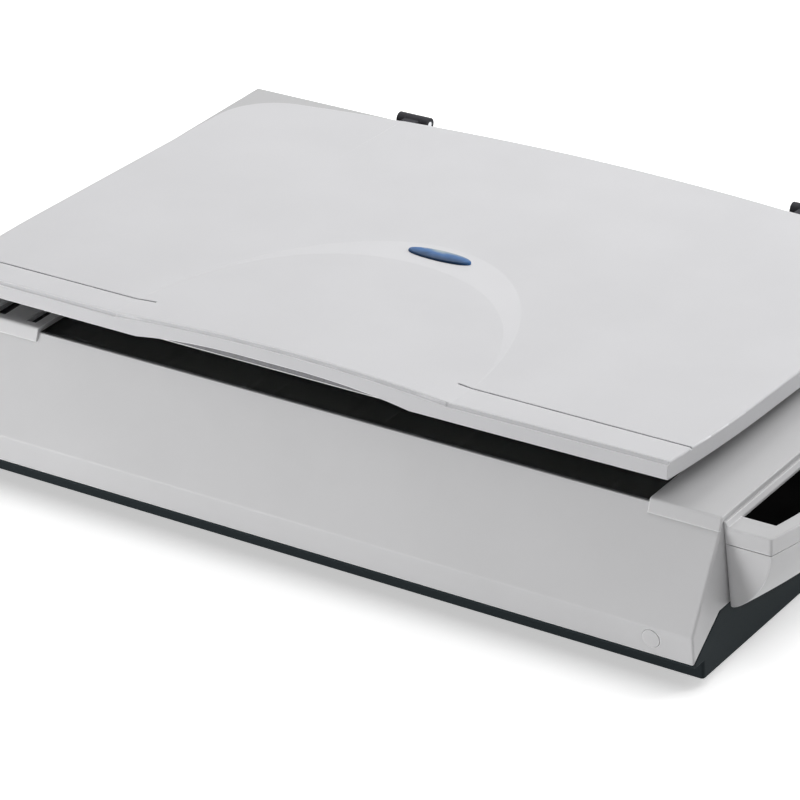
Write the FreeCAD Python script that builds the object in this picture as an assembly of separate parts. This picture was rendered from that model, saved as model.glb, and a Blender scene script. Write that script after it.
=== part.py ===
import FreeCAD, Part
import math
import os

from FreeCAD import Vector

# Flatbed book scanner. X runs from left to right, the front faces -Y, and Z is up.
# The origin is on the table under the middle of the scanner. All lengths are in millimetres.

# Body
body_left = -311.5
body_width = 580.5
body_right = body_left + body_width
front_y = -165.5
body_depth = 365.5
rear_y = front_y + body_depth
foot_height = 7.0
housing_height = 89.3
base_z = foot_height
glass_z = base_z + housing_height
wall = 2.6

# Slanted front, measured down and out from the front edge of the glass
panel_reach = 34.5
crease_drop = 58.0
crease_radius = 2.5
band_tuck = 1.4
band_bottom_drop = 75.7
joint_drop = 54.1
joint_setback = 3.0
panel_edge = 1.2
panel_end_radius = 1.5

# Lower tray
tray_setback = 23.4
tray_flange = 2.0
tray_flange_inset = 0.8
tray_corner_radius = 2.0
rib_height = 3.0
rib_thickness = 1.6
cross_rib_places = (-240, -160, -80, 0, 80, 160)
cross_rib_ends = (10, 240)
long_rib_places = (40, 100, 160, 220)
long_rib_ends = (-240, 160)
boss_radius = 4.0
boss_top_drop = 50.0
front_pillar_drop = 36.0
screw_seat_drop = 16.0
screw_tray_length = 10.0
screw_left_inset = 7.2
screw_right_inset = 8.5
screw_rear_inset = 8.5
screw_front_offset = 12.0
screw_middle_x = -25.5
screw_radius = 1.5
screw_head_radius = 3.0
screw_head_height = 2.2
screw_length = 26.0
thread_clearance = 0.1

# Window and its frame
border_left = 98.0
border_right = 46.5
border_rear = 63.5
glass_thickness = 4.0
glass_lap = 4.0
glass_gap = 0.2
glass_ledge = 2.0
glass_ledge_depth = 5.0
frame_rise = 3.3
frame_edge_radius = 0.8
lip_drop = 4.6
lip_skin = 1.2
lip_radius = 2.0
lip_root = 6.0
slit_starts = (6.0, 30.0)
slit_widths = (7.5, 10.0)
slit_front = 4.5
slit_rear_gap = 6.0
slit_glass_thickness = 2.5
slit_glass_laps = ((1.6, 2.6), (2.6, 2.6))
strip_width = 9.5
strip_thickness = 0.5
strip_start = 17.0
seal_width = 3.0
seal_thickness = 1.2

# Control pod on the right
pod_setback = 0.3
pod_depth = 220.0
pod_reach_end = 30.3
pod_reach_middle = 44.5
pod_wall = 2.2
pod_top_drop = 3.0
pod_joint_drop = 13.4
pod_joint_gap = 0.5
pod_lip_inset = 0.8
pod_belly = ((4.1, 31.2), (11.7, 43.5), (20.1, 50.9))
pod_bottom_drop = 55.5
pod_corner_radius = 2.0
pod_window_inset = 16.0
pod_window_low = 50.0
pod_window_high = 18.0
valley_radii = (0.6, 10.0)
valley_block = 13.0
bezel_flange = 3.2
plate_front = 15.0
plate_back = 15.0
plate_side = 8.9
plate_drop = 1.4
plate_thickness = 2.6
plate_gap = 0.2

# Keys on the pod
key_gap = 0.25
key_rise = 1.6
key_travel = 1.2
key_rest_gap = 0.3
key_flange = 1.2
key_flange_height = 1.0
key_edge = 0.6
scan_button_size = (17.0, 24.0)
scan_button_y = 118.0
small_key_radius = 5.5
small_key_places = (144.0, 162.0, 180.0)
display_size = (16.0, 13.0)
display_y = 93.0
board_drop = 11.0
board_thickness = 1.6
button_board_front = 80.0
button_board_rear_gap = 20.0
switch_size = 6.0
switch_nub_radius = 1.7
board_tab = (6.0, 100.0, 110.0)

# Round power button on the lower front band
power_right_gap = 27.3
power_drop = 65.3
power_radius = 5.7
power_gap = 0.2
power_edge = 0.4
power_flange = (1.2, 1.0, 0.3)
power_proud = 0.5
power_depth = 7.0
power_switch_depth = 3.0
power_switch_gap = 1.8
power_switch_radius = 4.5
power_switch_foot = (4.0, 0.7, 0.2)

# Lid, described closed, with heights above the glass
lid_left_margin = 22.5
lid_right_margin = 31.0
lid_front_setback = 1.0
lid_front_bow = 1.75
lid_front_taper = 5.0
lid_shoulder_depth = 97.0
lid_rear_gap = 14.0
lid_rear_radius = 1320.0
lid_rear_corner = 42.0
lid_bottom_rise = 4.5
lid_top_rise = 15.5
lid_wall = 2.6
lid_top_edge = 1.2
lid_side_margin = 10.0
lid_rest_angle = 1.9
arch_offset = -8.0
arch_half = 122.0
arch_rise = 5.3
arch_underside_offset = -13.0
arch_underside_half = 99.0
arch_underside_rise = 6.6
arch_underside_power = 2.6
arch_recess = 9.0
arch_recess_wall = 2.2
front_cove = 1.6
cove_drop = 0.4
cove_setback = 0.6
cove_side_setback = 0.8
cove_end_setback = 0.5
cove_overlap = 3.0
dome_offset = -7.0
dome_crest_half = 106.0
dome_crest_depth = 143.0
dome_foot_half = 122.0
dome_foot_depth = 183.0
groove_setback = 24.0
groove_width = 1.5
groove_depth = 1.2
groove_inner = (-114.0, 104.0)
rear_crease = 256.0
rear_crease_left = -150.0
rear_crease_drop = 2.4
liner_thickness = 2.2
liner_gap = 0.3
pad_side_gap = 5.0
pad_front = 11.0
pad_rear_gap = 4.0
pad_rest_gap = 0.4
pad_sheet_thickness = 0.5
badge_size = (45.0, 17.5)
badge_offset = -3.0
badge_y = 166.0
badge_height = 1.2
badge_sink = 0.6
badge_edge = 1.0
lid_screw_radius = 1.5
lid_screw_head_radius = 2.8
lid_screw_head_height = 0.8
lid_screw_length = 7.0
lid_screw_inset = 12.0
lid_screw_front = 60.0
lid_screw_rear_gap = 101.5

# Rear hinges. The posts slide up out of their sockets for a thick book.
hinge_rear_gap = 8.5
hinge_rise = 10.0
hinge_places = (-150.0, 150.0)
hinge_pin_radius = 2.0
hinge_fit = 0.05
knuckle_radius = 4.6
ear_width = 6.0
post_width = 24.0
post_depth = 8.0
post_length = 56.0
post_gap = 0.3
socket_wall = 1.5
arm_thickness = 5.0
arm_gap = 0.3
arm_length = 44.0
arm_leaf_width = 30.0
arm_leaf_length = 22.0

# Carriage, parked at the left
carriage_left_gap = 16.0
carriage_width = 84.0
carriage_front = 0.5
carriage_front_drop = 48.0
carriage_nose = 21.0
carriage_rear_gap = 47.5
carriage_top_drop = 9.5
carriage_bottom_drop = 66.0
carriage_wall = 2.0
cover_thickness = 1.5
scan_line = 60.0
scan_slit = 7.0
scan_front = 4.0
scan_rear_gap = 10.0
lamp_radius = 1.6
lamp_cap_rise = 0.6
lamp_cap_length = 8.0
reflector_gap = 0.3
reflector_thickness = 1.0
reflector_overlap = 1.0
lamp_offset = 9.0
lamp_drop = 16.0
mirror_thickness = 2.5
mirror_frame_width = 34.0
mirror_frame_front = 1.5
mirror_frame_top = 22.0
mirrors = ((60.0, 57.0, -45.0, 15.0), (75.0, 57.0, 45.0, 13.0), (75.0, 30.0, -45.0, 13.0))
lens_radius = 9.0
lens_length = 22.0
lens_place = (18.0, 150.0, 30.0)
lens_grip = (6.0, 1.2, 4.0)
lens_saddle = (3.0, 9.0, 8.0)
lens_recess = (3.0, 2.5)
sensor_size = (46.0, 42.0)
sensor_distance = 8.0
sensor_thickness = 1.6
sensor_chip = (3.0, 18.0, 4.0)
sensor_plug = (5.0, 12.0, 2.0, 8.0)

# Guide rod, bushes and front rail
rod_rear_gap = 41.5
rod_drop = 32.0
rod_radius = 4.0
bush_radius = 7.0
bush_fit = 0.05
bush_length = 12.0
bush_block = (4.0, 50.0, 20.0)
bracket_thickness = 8.0
bracket_width = 20.0
bracket_rise = 8.0
bracket_shoulder = 6.0
rod_seat_fit = 0.01
rail_y = -9.0
rail_width = 8.0
rail_thickness = 1.0
pad_length = 20.0
pad_thickness = 3.0
pad_inset = 8.0
sliding_gap = 0.3

# Belt drive behind the carriage
belt_rear_gap = 23.5
belt_rise = 39.7
belt_width = 6.0
belt_thickness = 1.2
clamp_inset = 14.0
clamp_back = 1.6
clamp_skirt = 1.2
pulley_radius = 5.8
pulley_flange = 1.2
pulley_flange_radius = 7.4
stud_radius = 2.0
stud_fit = 0.05
drive_right_gap = 26.5
idler_left_gap = 26.0
gear_module = 1.0
gear_pressure_angle = 20.0
gear_addendum = 0.9
gear_dedendum = 1.2
gear_hub_radius = 4.5
gear_teeth = 30
pinion_teeth = 12
gear_height = 5.0
gear_rise = 28.7
gear_backlash = 0.12
motor_radius = 17.5
motor_height = 22.0
motor_ear = 21.0
motor_ear_thickness = 1.2
motor_shaft_radius = 1.5
motor_ear_half = 8.0
motor_ear_corner = 4.0
motor_neck_radius = 5.0
motor_neck_gap = 0.2
motor_bracket_half = 18.5
bracket_plate_drop = 2.0
bore_overrun = 10.0
pinion_overlap = 0.3
shaft_rise = 1.5
plate_steel = 1.5
bracket_leg = 1.5
idler_plate = (12.0, 18.0, 7.0)
idler_pier_size = (10.0, 14.0, 6.0)
idler_tab = (1.5, 3.4, 4.0)
spring_radius = 2.6
spring_wire = 0.8
spring_turns = 6
spring_end = 37.0
spring_end_gap = 0.2
spring_drop = 0.5
spring_post_size = (3.0, 3.4, 3.0)

# Electronics
main_board_left = 4.5
main_board_rear_gap = 103.5
main_board_size = (150.0, 98.0)
main_board_rise = 7.7
main_chip = (50.0, 30.0, 28.0, 28.0, 2.0)
small_chip = (95.0, 20.0, 20.0, 14.0, 1.6)
capacitor_places = ((118.0, 60.0), (132.0, 60.0))
capacitor_radius = 5.0
capacitor_height = 9.0
standoff_radius = 3.0
standoff_inset = 6.0
usb_place = 46.0
usb_size = (12.0, 11.0)
usb_depth = 16.0
usb_hole = (8.4, 7.6)
usb_hole_depth = 9.0
inlet_place = 86.0
inlet_size = (9.0, 11.0)
inlet_depth = 14.0
inlet_hole_radius = 3.0
inlet_hole_depth = 9.0
socket_fit = 0.3
socket_face_gap = 0.4
ribbon_plug = (2.0, 9.0, 3.0, 5.0)
ribbon_width = 20.0
ribbon_thickness = 0.3
ribbon_rear_gap = 74.5
ribbon_rise = 4.2
ribbon_top_gap = 1.7
ribbon_bend_offset = 17.0
ribbon_end_offset = 40.0
ribbon_ramp = (24.0, 8.0)
ribbon_clamp_offsets = (38.0, 46.0)

# Transport lock under the tray
lock_left_gap = 27.0
lock_y = 134.0
lock_travel = 10.0
lock_knob = (12.0, 12.0, 2.8)
lock_plate = (14.0, 20.0, 2.0)
lock_stem = (5.4, 8.0)
lock_slot_gap = 0.3
lock_tab = (4.0, 4.0)
lock_tab_gap = 2.9
lock_ridge = (1.5, 1.0, 0.6)
lock_ridge_places = (-3.5, -0.5, 2.5)
catch_rib = (3.0, 12.0, 6.0)
catch_gap = 1.0
catch_lead = 4.0

# Feet
foot_radius = 10.0
foot_recess = 1.2
foot_left_gap = 31.5
foot_right_gap = 37.0
foot_middle_x = -26.0
foot_front = 6.0
foot_rear_gap = 27.5

# Values that follow from the sizes above
top_z = glass_z + frame_rise
joint_front_z = glass_z - band_bottom_drop
joint_z = glass_z - joint_drop
pod_front_y = front_y + pod_setback
pod_back_y = pod_front_y + pod_depth
window_left = body_left + border_left
window_right = body_right - border_right
window_depth = body_depth - border_rear
slit_back = window_depth - slit_rear_gap
power_x = body_right - power_right_gap
lid_half = (body_width - lid_left_margin - lid_right_margin) / 2
lid_center_x = body_left + lid_left_margin + lid_half
lid_front_half = lid_half - lid_front_taper
lid_depth = body_depth - lid_rear_gap
lid_front_y = front_y + lid_front_setback
lid_rear_y = front_y + lid_depth
lid_bottom_z = glass_z + lid_bottom_rise
lid_top_z = glass_z + lid_top_rise
hinge_y = rear_y - hinge_rear_gap
hinge_z = glass_z + hinge_rise
floor_z = base_z + wall
carriage_left = body_left + carriage_left_gap
carriage_rear = body_depth - carriage_rear_gap
carriage_bottom_z = glass_z - carriage_bottom_drop
scan_back = carriage_rear - scan_rear_gap
rod_y = body_depth - rod_rear_gap
drive_x = body_right - drive_right_gap
idler_x = body_left + idler_left_gap
belt_z = floor_z + belt_rise
belt_center_y = rear_y - belt_rear_gap
gear_z = floor_z + gear_rise
belt_line = pulley_radius + sliding_gap + belt_thickness / 2
gear_distance = gear_module * (gear_teeth + pinion_teeth) / 2
pinion_x = drive_x - gear_distance
screw_left_x = body_left + screw_left_inset
screw_right_x = body_right - screw_right_inset
screw_rear_y = rear_y - screw_rear_inset
screw_places = (
    (screw_left_x, front_y - screw_front_offset),
    (screw_right_x, front_y - screw_front_offset),
    (screw_left_x, screw_rear_y),
    (screw_middle_x, screw_rear_y),
    (screw_right_x, screw_rear_y),
)
main_board_place = (main_board_left, body_depth - main_board_rear_gap)
main_board_z = floor_z + main_board_rise
ribbon_low_z = floor_z + ribbon_rise
ribbon_bend = (carriage_bottom_z - ribbon_top_gap - ribbon_low_z) / 2
lock_x = body_left + lock_left_gap
foot_left_x = body_left + foot_left_gap
foot_right_x = body_right - foot_right_gap
foot_rear = body_depth - foot_rear_gap
foot_places = (
    (foot_left_x, foot_front),
    (foot_middle_x, foot_front),
    (foot_right_x, foot_front),
    (foot_left_x, foot_rear),
    (foot_right_x, foot_rear),
)


# Drawing helpers

def block(x0, x1, y0, y1, z0, z1):
    return Part.makeBox(x1 - x0, y1 - y0, z1 - z0, Vector(x0, y0, z0))


def face_of(points):
    corners = [Vector(*point) for point in points]
    return Part.Face(Part.makePolygon(corners + corners[:1]))


def side_prism(outline, x0, x1):
    """Solid with a (y, z) outline, drawn out along X."""
    return face_of([(x0, y, z) for y, z in outline]).extrude(Vector(x1 - x0, 0, 0))


def front_prism(outline, y0, y1):
    """Solid with an (x, z) outline, drawn out along Y."""
    return face_of([(x, y0, z) for x, z in outline]).extrude(Vector(0, y1 - y0, 0))


def plan_prism(outline, z0, z1):
    """Solid with an (x, y) outline, drawn out along Z."""
    return face_of([(x, y, z0) for x, y in outline]).extrude(Vector(0, 0, z1 - z0))


def bar(start, direction, radius, length):
    return Part.makeCylinder(radius, length, Vector(*start), Vector(*direction))


def ring(center, direction, outer, inner, length):
    return bar(center, direction, outer, length).cut(bar(center, direction, inner, length))


def joined(solids):
    first, *others = solids
    return first.fuse(others).removeSplitter() if others else first


def arc_edge(start, middle, end):
    return Part.Arc(Vector(*start), Vector(*middle), Vector(*end)).toShape()


def line_edge(start, end):
    return Part.LineSegment(Vector(*start), Vector(*end)).toShape()


def inset(outline, distance):
    """The outline moved inward all round; its points run anticlockwise."""
    count = len(outline)
    shifted = []
    for i, (a, b) in enumerate(outline):
        c, d = outline[(i + 1) % count]
        length = math.hypot(c - a, d - b)
        normal = ((b - d) / length, (c - a) / length)
        shifted.append((a + distance * normal[0], b + distance * normal[1], c - a, d - b))
    points = []
    for i in range(count):
        x1, y1, dx1, dy1 = shifted[i - 1]
        x2, y2, dx2, dy2 = shifted[i]
        along = ((x2 - x1) * dy2 - (y2 - y1) * dx2) / (dx1 * dy2 - dy1 * dx2)
        points.append((x1 + along * dx1, y1 + along * dy1))
    return points


def rounded_where(solid, radius, chosen):
    """Rounds the edges for which chosen(bounding box) is true."""
    return solid.makeFillet(radius, [edge for edge in solid.Edges if chosen(edge.BoundBox)])


def rounded_uprights(solid, radius):
    """Rounds every upright edge."""
    def upright(box):
        return box.XLength < 1e-3 and box.YLength < 1e-3
    return rounded_where(solid, radius, upright)


# Upper housing and tray

def upper_outline():
    return [
        (front_y, glass_z),
        (front_y - panel_reach, glass_z - crease_drop),
        (front_y - panel_reach + band_tuck, joint_front_z),
        (front_y - joint_setback, joint_z),
        (rear_y, joint_z),
        (rear_y, glass_z),
    ]


def joint_height(y):
    """Height of the joint between the housings where it climbs behind the front panel."""
    low_y = front_y - panel_reach + band_tuck
    share = (y - low_y) / (front_y - joint_setback - low_y)
    return joint_front_z + share * (joint_z - joint_front_z)


def power_axis():
    """Point on the lower front band and the direction out of it."""
    share = (power_drop - crease_drop) / (band_bottom_drop - crease_drop)
    point = Vector(power_x, front_y - panel_reach + share * band_tuck, glass_z - power_drop)
    outward = Vector(0, -(band_bottom_drop - crease_drop), -band_tuck)
    return point, outward.normalize()


def screw_pillar(x, y, z0, z1, web_z1):
    """Pillar for a screw, with webs that tie it to the walls beside it and behind it."""
    pillar = bar((x, y, z0), (0, 0, 1), boss_radius, z1 - z0)
    half = rib_thickness / 2
    webs = []
    for side, sign in ((body_left, 1), (body_right, -1)):
        if abs(x - side) < 3 * boss_radius:
            edge = side + sign * wall / 2
            webs.append(block(min(x, edge), max(x, edge), y - half, y + half, z0, web_z1))
    if rear_y - y < 3 * boss_radius:
        webs.append(block(x - half, x + half, y, rear_y - wall / 2, z0, web_z1))
    return pillar.fuse(webs)


def upper_housing():
    outline = upper_outline()
    outer = side_prism(outline, body_left, body_right)

    def at_crease(box):
        level = abs(box.ZMin - (glass_z - crease_drop)) < 1e-3
        return level and box.XLength > body_width / 2 and box.YMax < front_y
    outer = rounded_where(outer, crease_radius, at_crease)

    def front_end(box):
        return box.XLength < 1e-3 and box.YMax < front_y + 1e-3 and box.ZMin > joint_front_z - 1e-3
    outer = rounded_where(outer, panel_end_radius, front_end)
    inner = inset(outline, wall)
    lowered = [(y, z - 2 * wall) for y, z in inner]
    x0 = body_left + wall
    x1 = body_right - wall
    slant = panel_reach / crease_drop
    top_inner_y = front_y + wall * math.hypot(1, slant)
    hollow = [
        side_prism(inner, x0, x1),
        side_prism(lowered, x0, x1),
        block(x0, x1, top_inner_y, rear_y - wall, glass_z - 2 * wall, glass_z + 1),
    ]
    shell = outer.cut(hollow)
    ledge_z = glass_z - glass_thickness - glass_ledge
    ledge = block(
        window_left - glass_lap, window_right + glass_lap,
        front_y, front_y + glass_ledge_depth, ledge_z, ledge_z + glass_ledge,
    )
    pillars = []
    for x, y in screw_places:
        top = glass_z - front_pillar_drop if y < front_y else glass_z - glass_thickness - 2 * wall
        pillars.append(screw_pillar(x, y, glass_z - boss_top_drop, top, top))
    shell = shell.fuse([ledge] + pillars).common(outer)
    point, outward = power_axis()
    pod_window = block(
        body_right - 2 * wall, body_right + 1, pod_front_y + pod_window_inset, pod_back_y - pod_window_inset,
        glass_z - pod_window_low, glass_z - pod_window_high,
    )
    cuts = [
        block(
            window_left - glass_lap - glass_gap, window_right + glass_lap + glass_gap,
            front_y + panel_edge, front_y + glass_ledge_depth + 1,
            glass_z - glass_thickness, glass_z + 1,
        ),
        pod_window,
        Part.makeCylinder(power_radius + power_gap, 4 * wall, point - outward * 3 * wall, outward),
    ]
    for x, y in screw_places:
        cuts.append(bar((x, y, glass_z - boss_top_drop - 1), (0, 0, 1), screw_radius + thread_clearance,
                        screw_length - screw_tray_length))
    return shell.cut(cuts)


def tray_ribs():
    """Low stiffening ribs on the tray's floor, clear of the ribbon cable."""
    ribs = []
    top = floor_z + rib_height
    start, end = cross_rib_ends
    for x in cross_rib_places:
        ribs.append(block(x, x + rib_thickness, front_y + start, front_y + end, floor_z, top))
    start, end = long_rib_ends
    for y in long_rib_places:
        ribs.append(block(start, end, front_y + y, front_y + y + rib_thickness, floor_z, top))
    return ribs


def lower_housing():
    flange_y = front_y - panel_reach + band_tuck + tray_flange_inset
    flange_z = joint_front_z - tray_flange
    tray_front = front_y - tray_setback
    outline = [
        (tray_front, base_z),
        (rear_y, base_z),
        (rear_y, joint_z),
        (front_y - joint_setback, joint_z),
        (flange_y, joint_height(flange_y)),
        (flange_y, flange_z),
        (tray_front, flange_z),
    ]
    outer = side_prism(outline, body_left, body_right)

    def front_corner(box):
        upright = box.XLength < 1e-3 and box.YLength < 1e-3
        return upright and abs(box.YMin - tray_front) < 1e-3 and box.ZMin < base_z + 1e-3
    outer = rounded_where(outer, tray_corner_radius, front_corner)
    x0 = body_left + wall
    x1 = body_right - wall
    flange_inner = flange_y + wall
    hollow = [
        block(x0, x1, tray_front + wall, rear_y - wall, floor_z, joint_z + 1),
        block(x0, x1, flange_inner, tray_front + 2 * wall, joint_front_z, joint_z + 1),
    ]
    tray = outer.cut(hollow)
    pieces = tray_ribs()
    for x, y in screw_places:
        web_top = joint_height(y - rib_thickness / 2) if y < front_y else joint_z
        pieces.append(screw_pillar(x, y, floor_z - wall / 2, glass_z - boss_top_drop, web_top - sliding_gap))
    board_x, board_y = main_board_place
    standoff_height = main_board_z - board_thickness - floor_z
    for dx in (standoff_inset, main_board_size[0] - standoff_inset):
        for dy in (standoff_inset, main_board_size[1] - standoff_inset):
            pieces.append(bar((board_x + dx, front_y + board_y + dy, floor_z), (0, 0, 1),
                              standoff_radius, standoff_height))
    rail_base = block(x0, x1, front_y + rail_y - rail_width / 2 + 1, front_y + rail_y + rail_width / 2 - 1,
                      floor_z, rail_z() - rail_thickness)
    left, right, half = idler_pier_size
    idler_pier = block(idler_x - left, idler_x + right, belt_center_y - half, belt_center_y + half,
                       floor_z, idler_plate_z())
    thickness, half, rise = spring_post_size
    spring_post = block(idler_x + spring_end, idler_x + spring_end + thickness, belt_center_y - half,
                        belt_center_y + half, floor_z, belt_z + rise)
    tray = tray.fuse(pieces + [rail_base, idler_pier, spring_post])
    cuts = []
    for x, y in foot_places:
        cuts.append(bar((x, front_y + y, base_z - 1), (0, 0, 1), foot_radius, 1 + foot_recess))
    for x, y in screw_places:
        cuts.append(bar((x, y, base_z - 1), (0, 0, 1), screw_radius + thread_clearance, housing_height))
        cuts.append(bar((x, y, base_z - 1), (0, 0, 1), screw_head_radius + thread_clearance,
                        screw_seat_z() - base_z + 1))
    stem_x, stem_y = lock_stem
    cuts.append(block(
        lock_x - stem_x / 2 - lock_slot_gap, lock_x + stem_x / 2 + lock_slot_gap,
        front_y + lock_y, front_y + lock_y + stem_y + lock_travel + 2 * lock_slot_gap,
        base_z - 1, floor_z + 1,
    ))
    cuts.append(usb_block(socket_fit))
    cuts.append(inlet_block(socket_fit))
    return tray.cut(cuts)


# Screws and feet

def screw_seat_z():
    return glass_z - boss_top_drop - screw_seat_drop


def housing_screws():
    screws = []
    for x, y in screw_places:
        head = bar((x, y, screw_seat_z() - screw_head_height), (0, 0, 1), screw_head_radius,
                   screw_head_height)
        shank = bar((x, y, screw_seat_z()), (0, 0, 1), screw_radius, screw_length)
        screws.append(head.fuse(shank))
    return Part.makeCompound(screws)


def rubber_feet():
    feet = []
    for x, y in foot_places:
        foot = bar((x, front_y + y, 0), (0, 0, 1), foot_radius, foot_height + foot_recess)
        bottom = [edge for edge in foot.Edges if edge.BoundBox.ZMax < 1e-3]
        feet.append(foot.makeFillet(1.0, bottom))
    return Part.makeCompound(feet)


# Window

def frame_lip(x0, x1):
    """Rounded lip over the front edge at one end of the window."""
    slope = panel_reach / crease_drop
    outline = [
        (front_y + lip_root, top_z),
        (front_y - lip_skin / 2, top_z),
        (front_y - slope * lip_drop - lip_skin, glass_z - lip_drop),
        (front_y - slope * lip_drop, glass_z - lip_drop),
        (front_y, glass_z),
        (front_y + lip_root, glass_z),
    ]
    lip = side_prism(outline, x0, x1)

    def nose(box):
        return abs(box.ZMin - top_z) < 1e-3 and abs(box.YMax - (front_y - lip_skin / 2)) < 1e-3 \
            and box.XLength > 1
    return rounded_where(lip, lip_radius, nose)


def window_frame():
    left = block(body_left, window_left, front_y + lip_root, rear_y, glass_z, top_z)
    right = block(window_right, body_right, front_y + lip_root, rear_y, glass_z, top_z)
    rear = block(window_left, window_right, front_y + window_depth, rear_y, glass_z, top_z)
    lips = [frame_lip(body_left, window_left), frame_lip(window_right, body_right)]
    frame = joined([left, right, rear] + lips)

    def outer_top(box):
        level = abs(box.ZMin - top_z) < 1e-3 and abs(box.ZMax - top_z) < 1e-3
        at_side = abs(box.XMin - body_right) < 1e-3 or abs(box.XMax - body_left) < 1e-3
        at_rear = abs(box.YMin - rear_y) < 1e-3
        return level and (at_rear or at_side) and max(box.XLength, box.YLength) > lip_root
    frame = rounded_where(frame, frame_edge_radius, outer_top)
    cuts = []
    for start, width in zip(slit_starts, slit_widths):
        x1 = window_left - start
        cuts.append(block(x1 - width, x1, front_y + slit_front, front_y + slit_back, glass_z - 1, top_z + 1))
    for x in hinge_places:
        cx = lid_center_x + x
        cuts.append(block(
            cx - post_width / 2 - post_gap, cx + post_width / 2 + post_gap,
            hinge_y - post_depth / 2 - post_gap, hinge_y + post_depth / 2 + post_gap,
            glass_z - 1, top_z + 1,
        ))
    return frame.cut(cuts)


def document_glass():
    return block(
        window_left - glass_lap, window_right + glass_lap,
        front_y + panel_edge + glass_gap, front_y + window_depth + glass_lap,
        glass_z - glass_thickness, glass_z,
    )


def slit_windows():
    panes = []
    for start, width, laps in zip(slit_starts, slit_widths, slit_glass_laps):
        x1 = window_left - start + laps[0]
        x0 = window_left - start - width - laps[1]
        panes.append(block(x0, x1, front_y + slit_front + 1, front_y + slit_back + 2,
                           glass_z - slit_glass_thickness, glass_z))
    return Part.makeCompound(panes)


def calibration_strip():
    x1 = window_left - strip_start
    return block(x1 - strip_width, x1, front_y + slit_front + 1, front_y + slit_back,
                 glass_z - strip_thickness, glass_z)


def edge_strip():
    """Dark seal on the ledge's inner edge, under the front of the glass."""
    y0 = front_y + glass_ledge_depth
    z1 = glass_z - glass_thickness
    return block(window_left, window_right, y0, y0 + seal_width, z1 - seal_thickness, z1)


# Control pod

def pod_reach(y):
    """How far the pod stands out from the body at a given y."""
    half = pod_depth / 2
    bow = pod_reach_middle - pod_reach_end
    radius = (half * half + bow * bow) / (2 * bow)
    offset = y - (pod_front_y + half)
    return pod_reach_middle - radius + math.sqrt(radius * radius - offset * offset)


def pod_section(y, skin):
    """Closed section of the pod's body at one y, moved inward by a skin thickness."""
    side = body_right + pod_reach(y) - skin
    top = glass_z - pod_joint_drop - pod_joint_gap
    (in1, drop1), (in2, drop2), (in3, drop3) = pod_belly
    waist = (side - in1, y, glass_z - drop1 + skin / 2)
    low = (side - in2, y, glass_z - drop2 + skin)
    belly = (side - in3, y, glass_z - drop3 + skin)
    bottom = (body_right, y, glass_z - pod_bottom_drop + skin)
    return Part.Wire([
        line_edge((body_right, y, top), (side, y, top)),
        arc_edge((side, y, top), waist, low),
        arc_edge(low, belly, bottom),
        line_edge(bottom, (body_right, y, top)),
    ])


def pod_loft(y0, y1, skin):
    stations = 3
    step = (y1 - y0) / (stations - 1)
    sections = [pod_section(y0 + i * step, skin) for i in range(stations)]
    return Part.makeLoft(sections, True, False)


def pod_plan(y0, y1, side_inset, x0):
    """Plan face of the pod between two y values, with its outer side moved inward."""
    middle = (y0 + y1) / 2
    x_front = body_right + pod_reach(y0) - side_inset
    x_middle = body_right + pod_reach(middle) - side_inset
    x_back = body_right + pod_reach(y1) - side_inset
    return Part.Face(Part.Wire([
        line_edge((x0, y0, 0), (x_front, y0, 0)),
        arc_edge((x_front, y0, 0), (x_middle, middle, 0), (x_back, y1, 0)),
        line_edge((x_back, y1, 0), (x0, y1, 0)),
        line_edge((x0, y1, 0), (x0, y0, 0)),
    ]))


def pod_slab(y0, y1, side_inset, x0, z0, z1):
    face = pod_plan(y0, y1, side_inset, x0)
    face.translate(Vector(0, 0, z0))
    return face.extrude(Vector(0, 0, z1 - z0))


def valley_cutter():
    """Cutter that rolls the pod's front back towards the body, more so further down."""
    x = body_right
    y = pod_front_y

    def outline(radius, z):
        turn = radius * (1 - math.sqrt(0.5))
        return Part.Wire([
            line_edge((x - 1, y - 1, z), (x + radius, y - 1, z)),
            line_edge((x + radius, y - 1, z), (x + radius, y, z)),
            arc_edge((x + radius, y, z), (x + turn, y + turn, z), (x, y + radius, z)),
            line_edge((x, y + radius, z), (x - 1, y + radius, z)),
            line_edge((x - 1, y + radius, z), (x - 1, y - 1, z)),
        ])
    top_radius, bottom_radius = valley_radii
    wires = [outline(top_radius, glass_z + 1), outline(bottom_radius, glass_z - pod_bottom_drop - 1)]
    return Part.makeLoft(wires, True, True)


def pod_body():
    outer = pod_loft(pod_front_y, pod_back_y, 0)
    corner = block(body_right - 1, body_right + valley_block, pod_front_y, pod_front_y + valley_block,
                   base_z, glass_z)
    inner = pod_loft(pod_front_y + pod_wall, pod_back_y - pod_wall, pod_wall).cut(corner)
    joint_top = glass_z - pod_joint_drop
    joint_low = joint_top - pod_joint_gap - pod_wall
    lip = pod_slab(pod_front_y + pod_lip_inset, pod_back_y - pod_lip_inset, pod_lip_inset,
                   body_right, joint_low, joint_top)
    lip = lip.cut(pod_slab(pod_front_y + pod_wall, pod_back_y - pod_wall, pod_wall,
                           body_right - 1, joint_low - 1, joint_top + 1))
    return outer.cut(inner).fuse(lip).cut(valley_cutter())


def plate_span():
    return pod_front_y + plate_front, pod_back_y - plate_back


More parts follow.
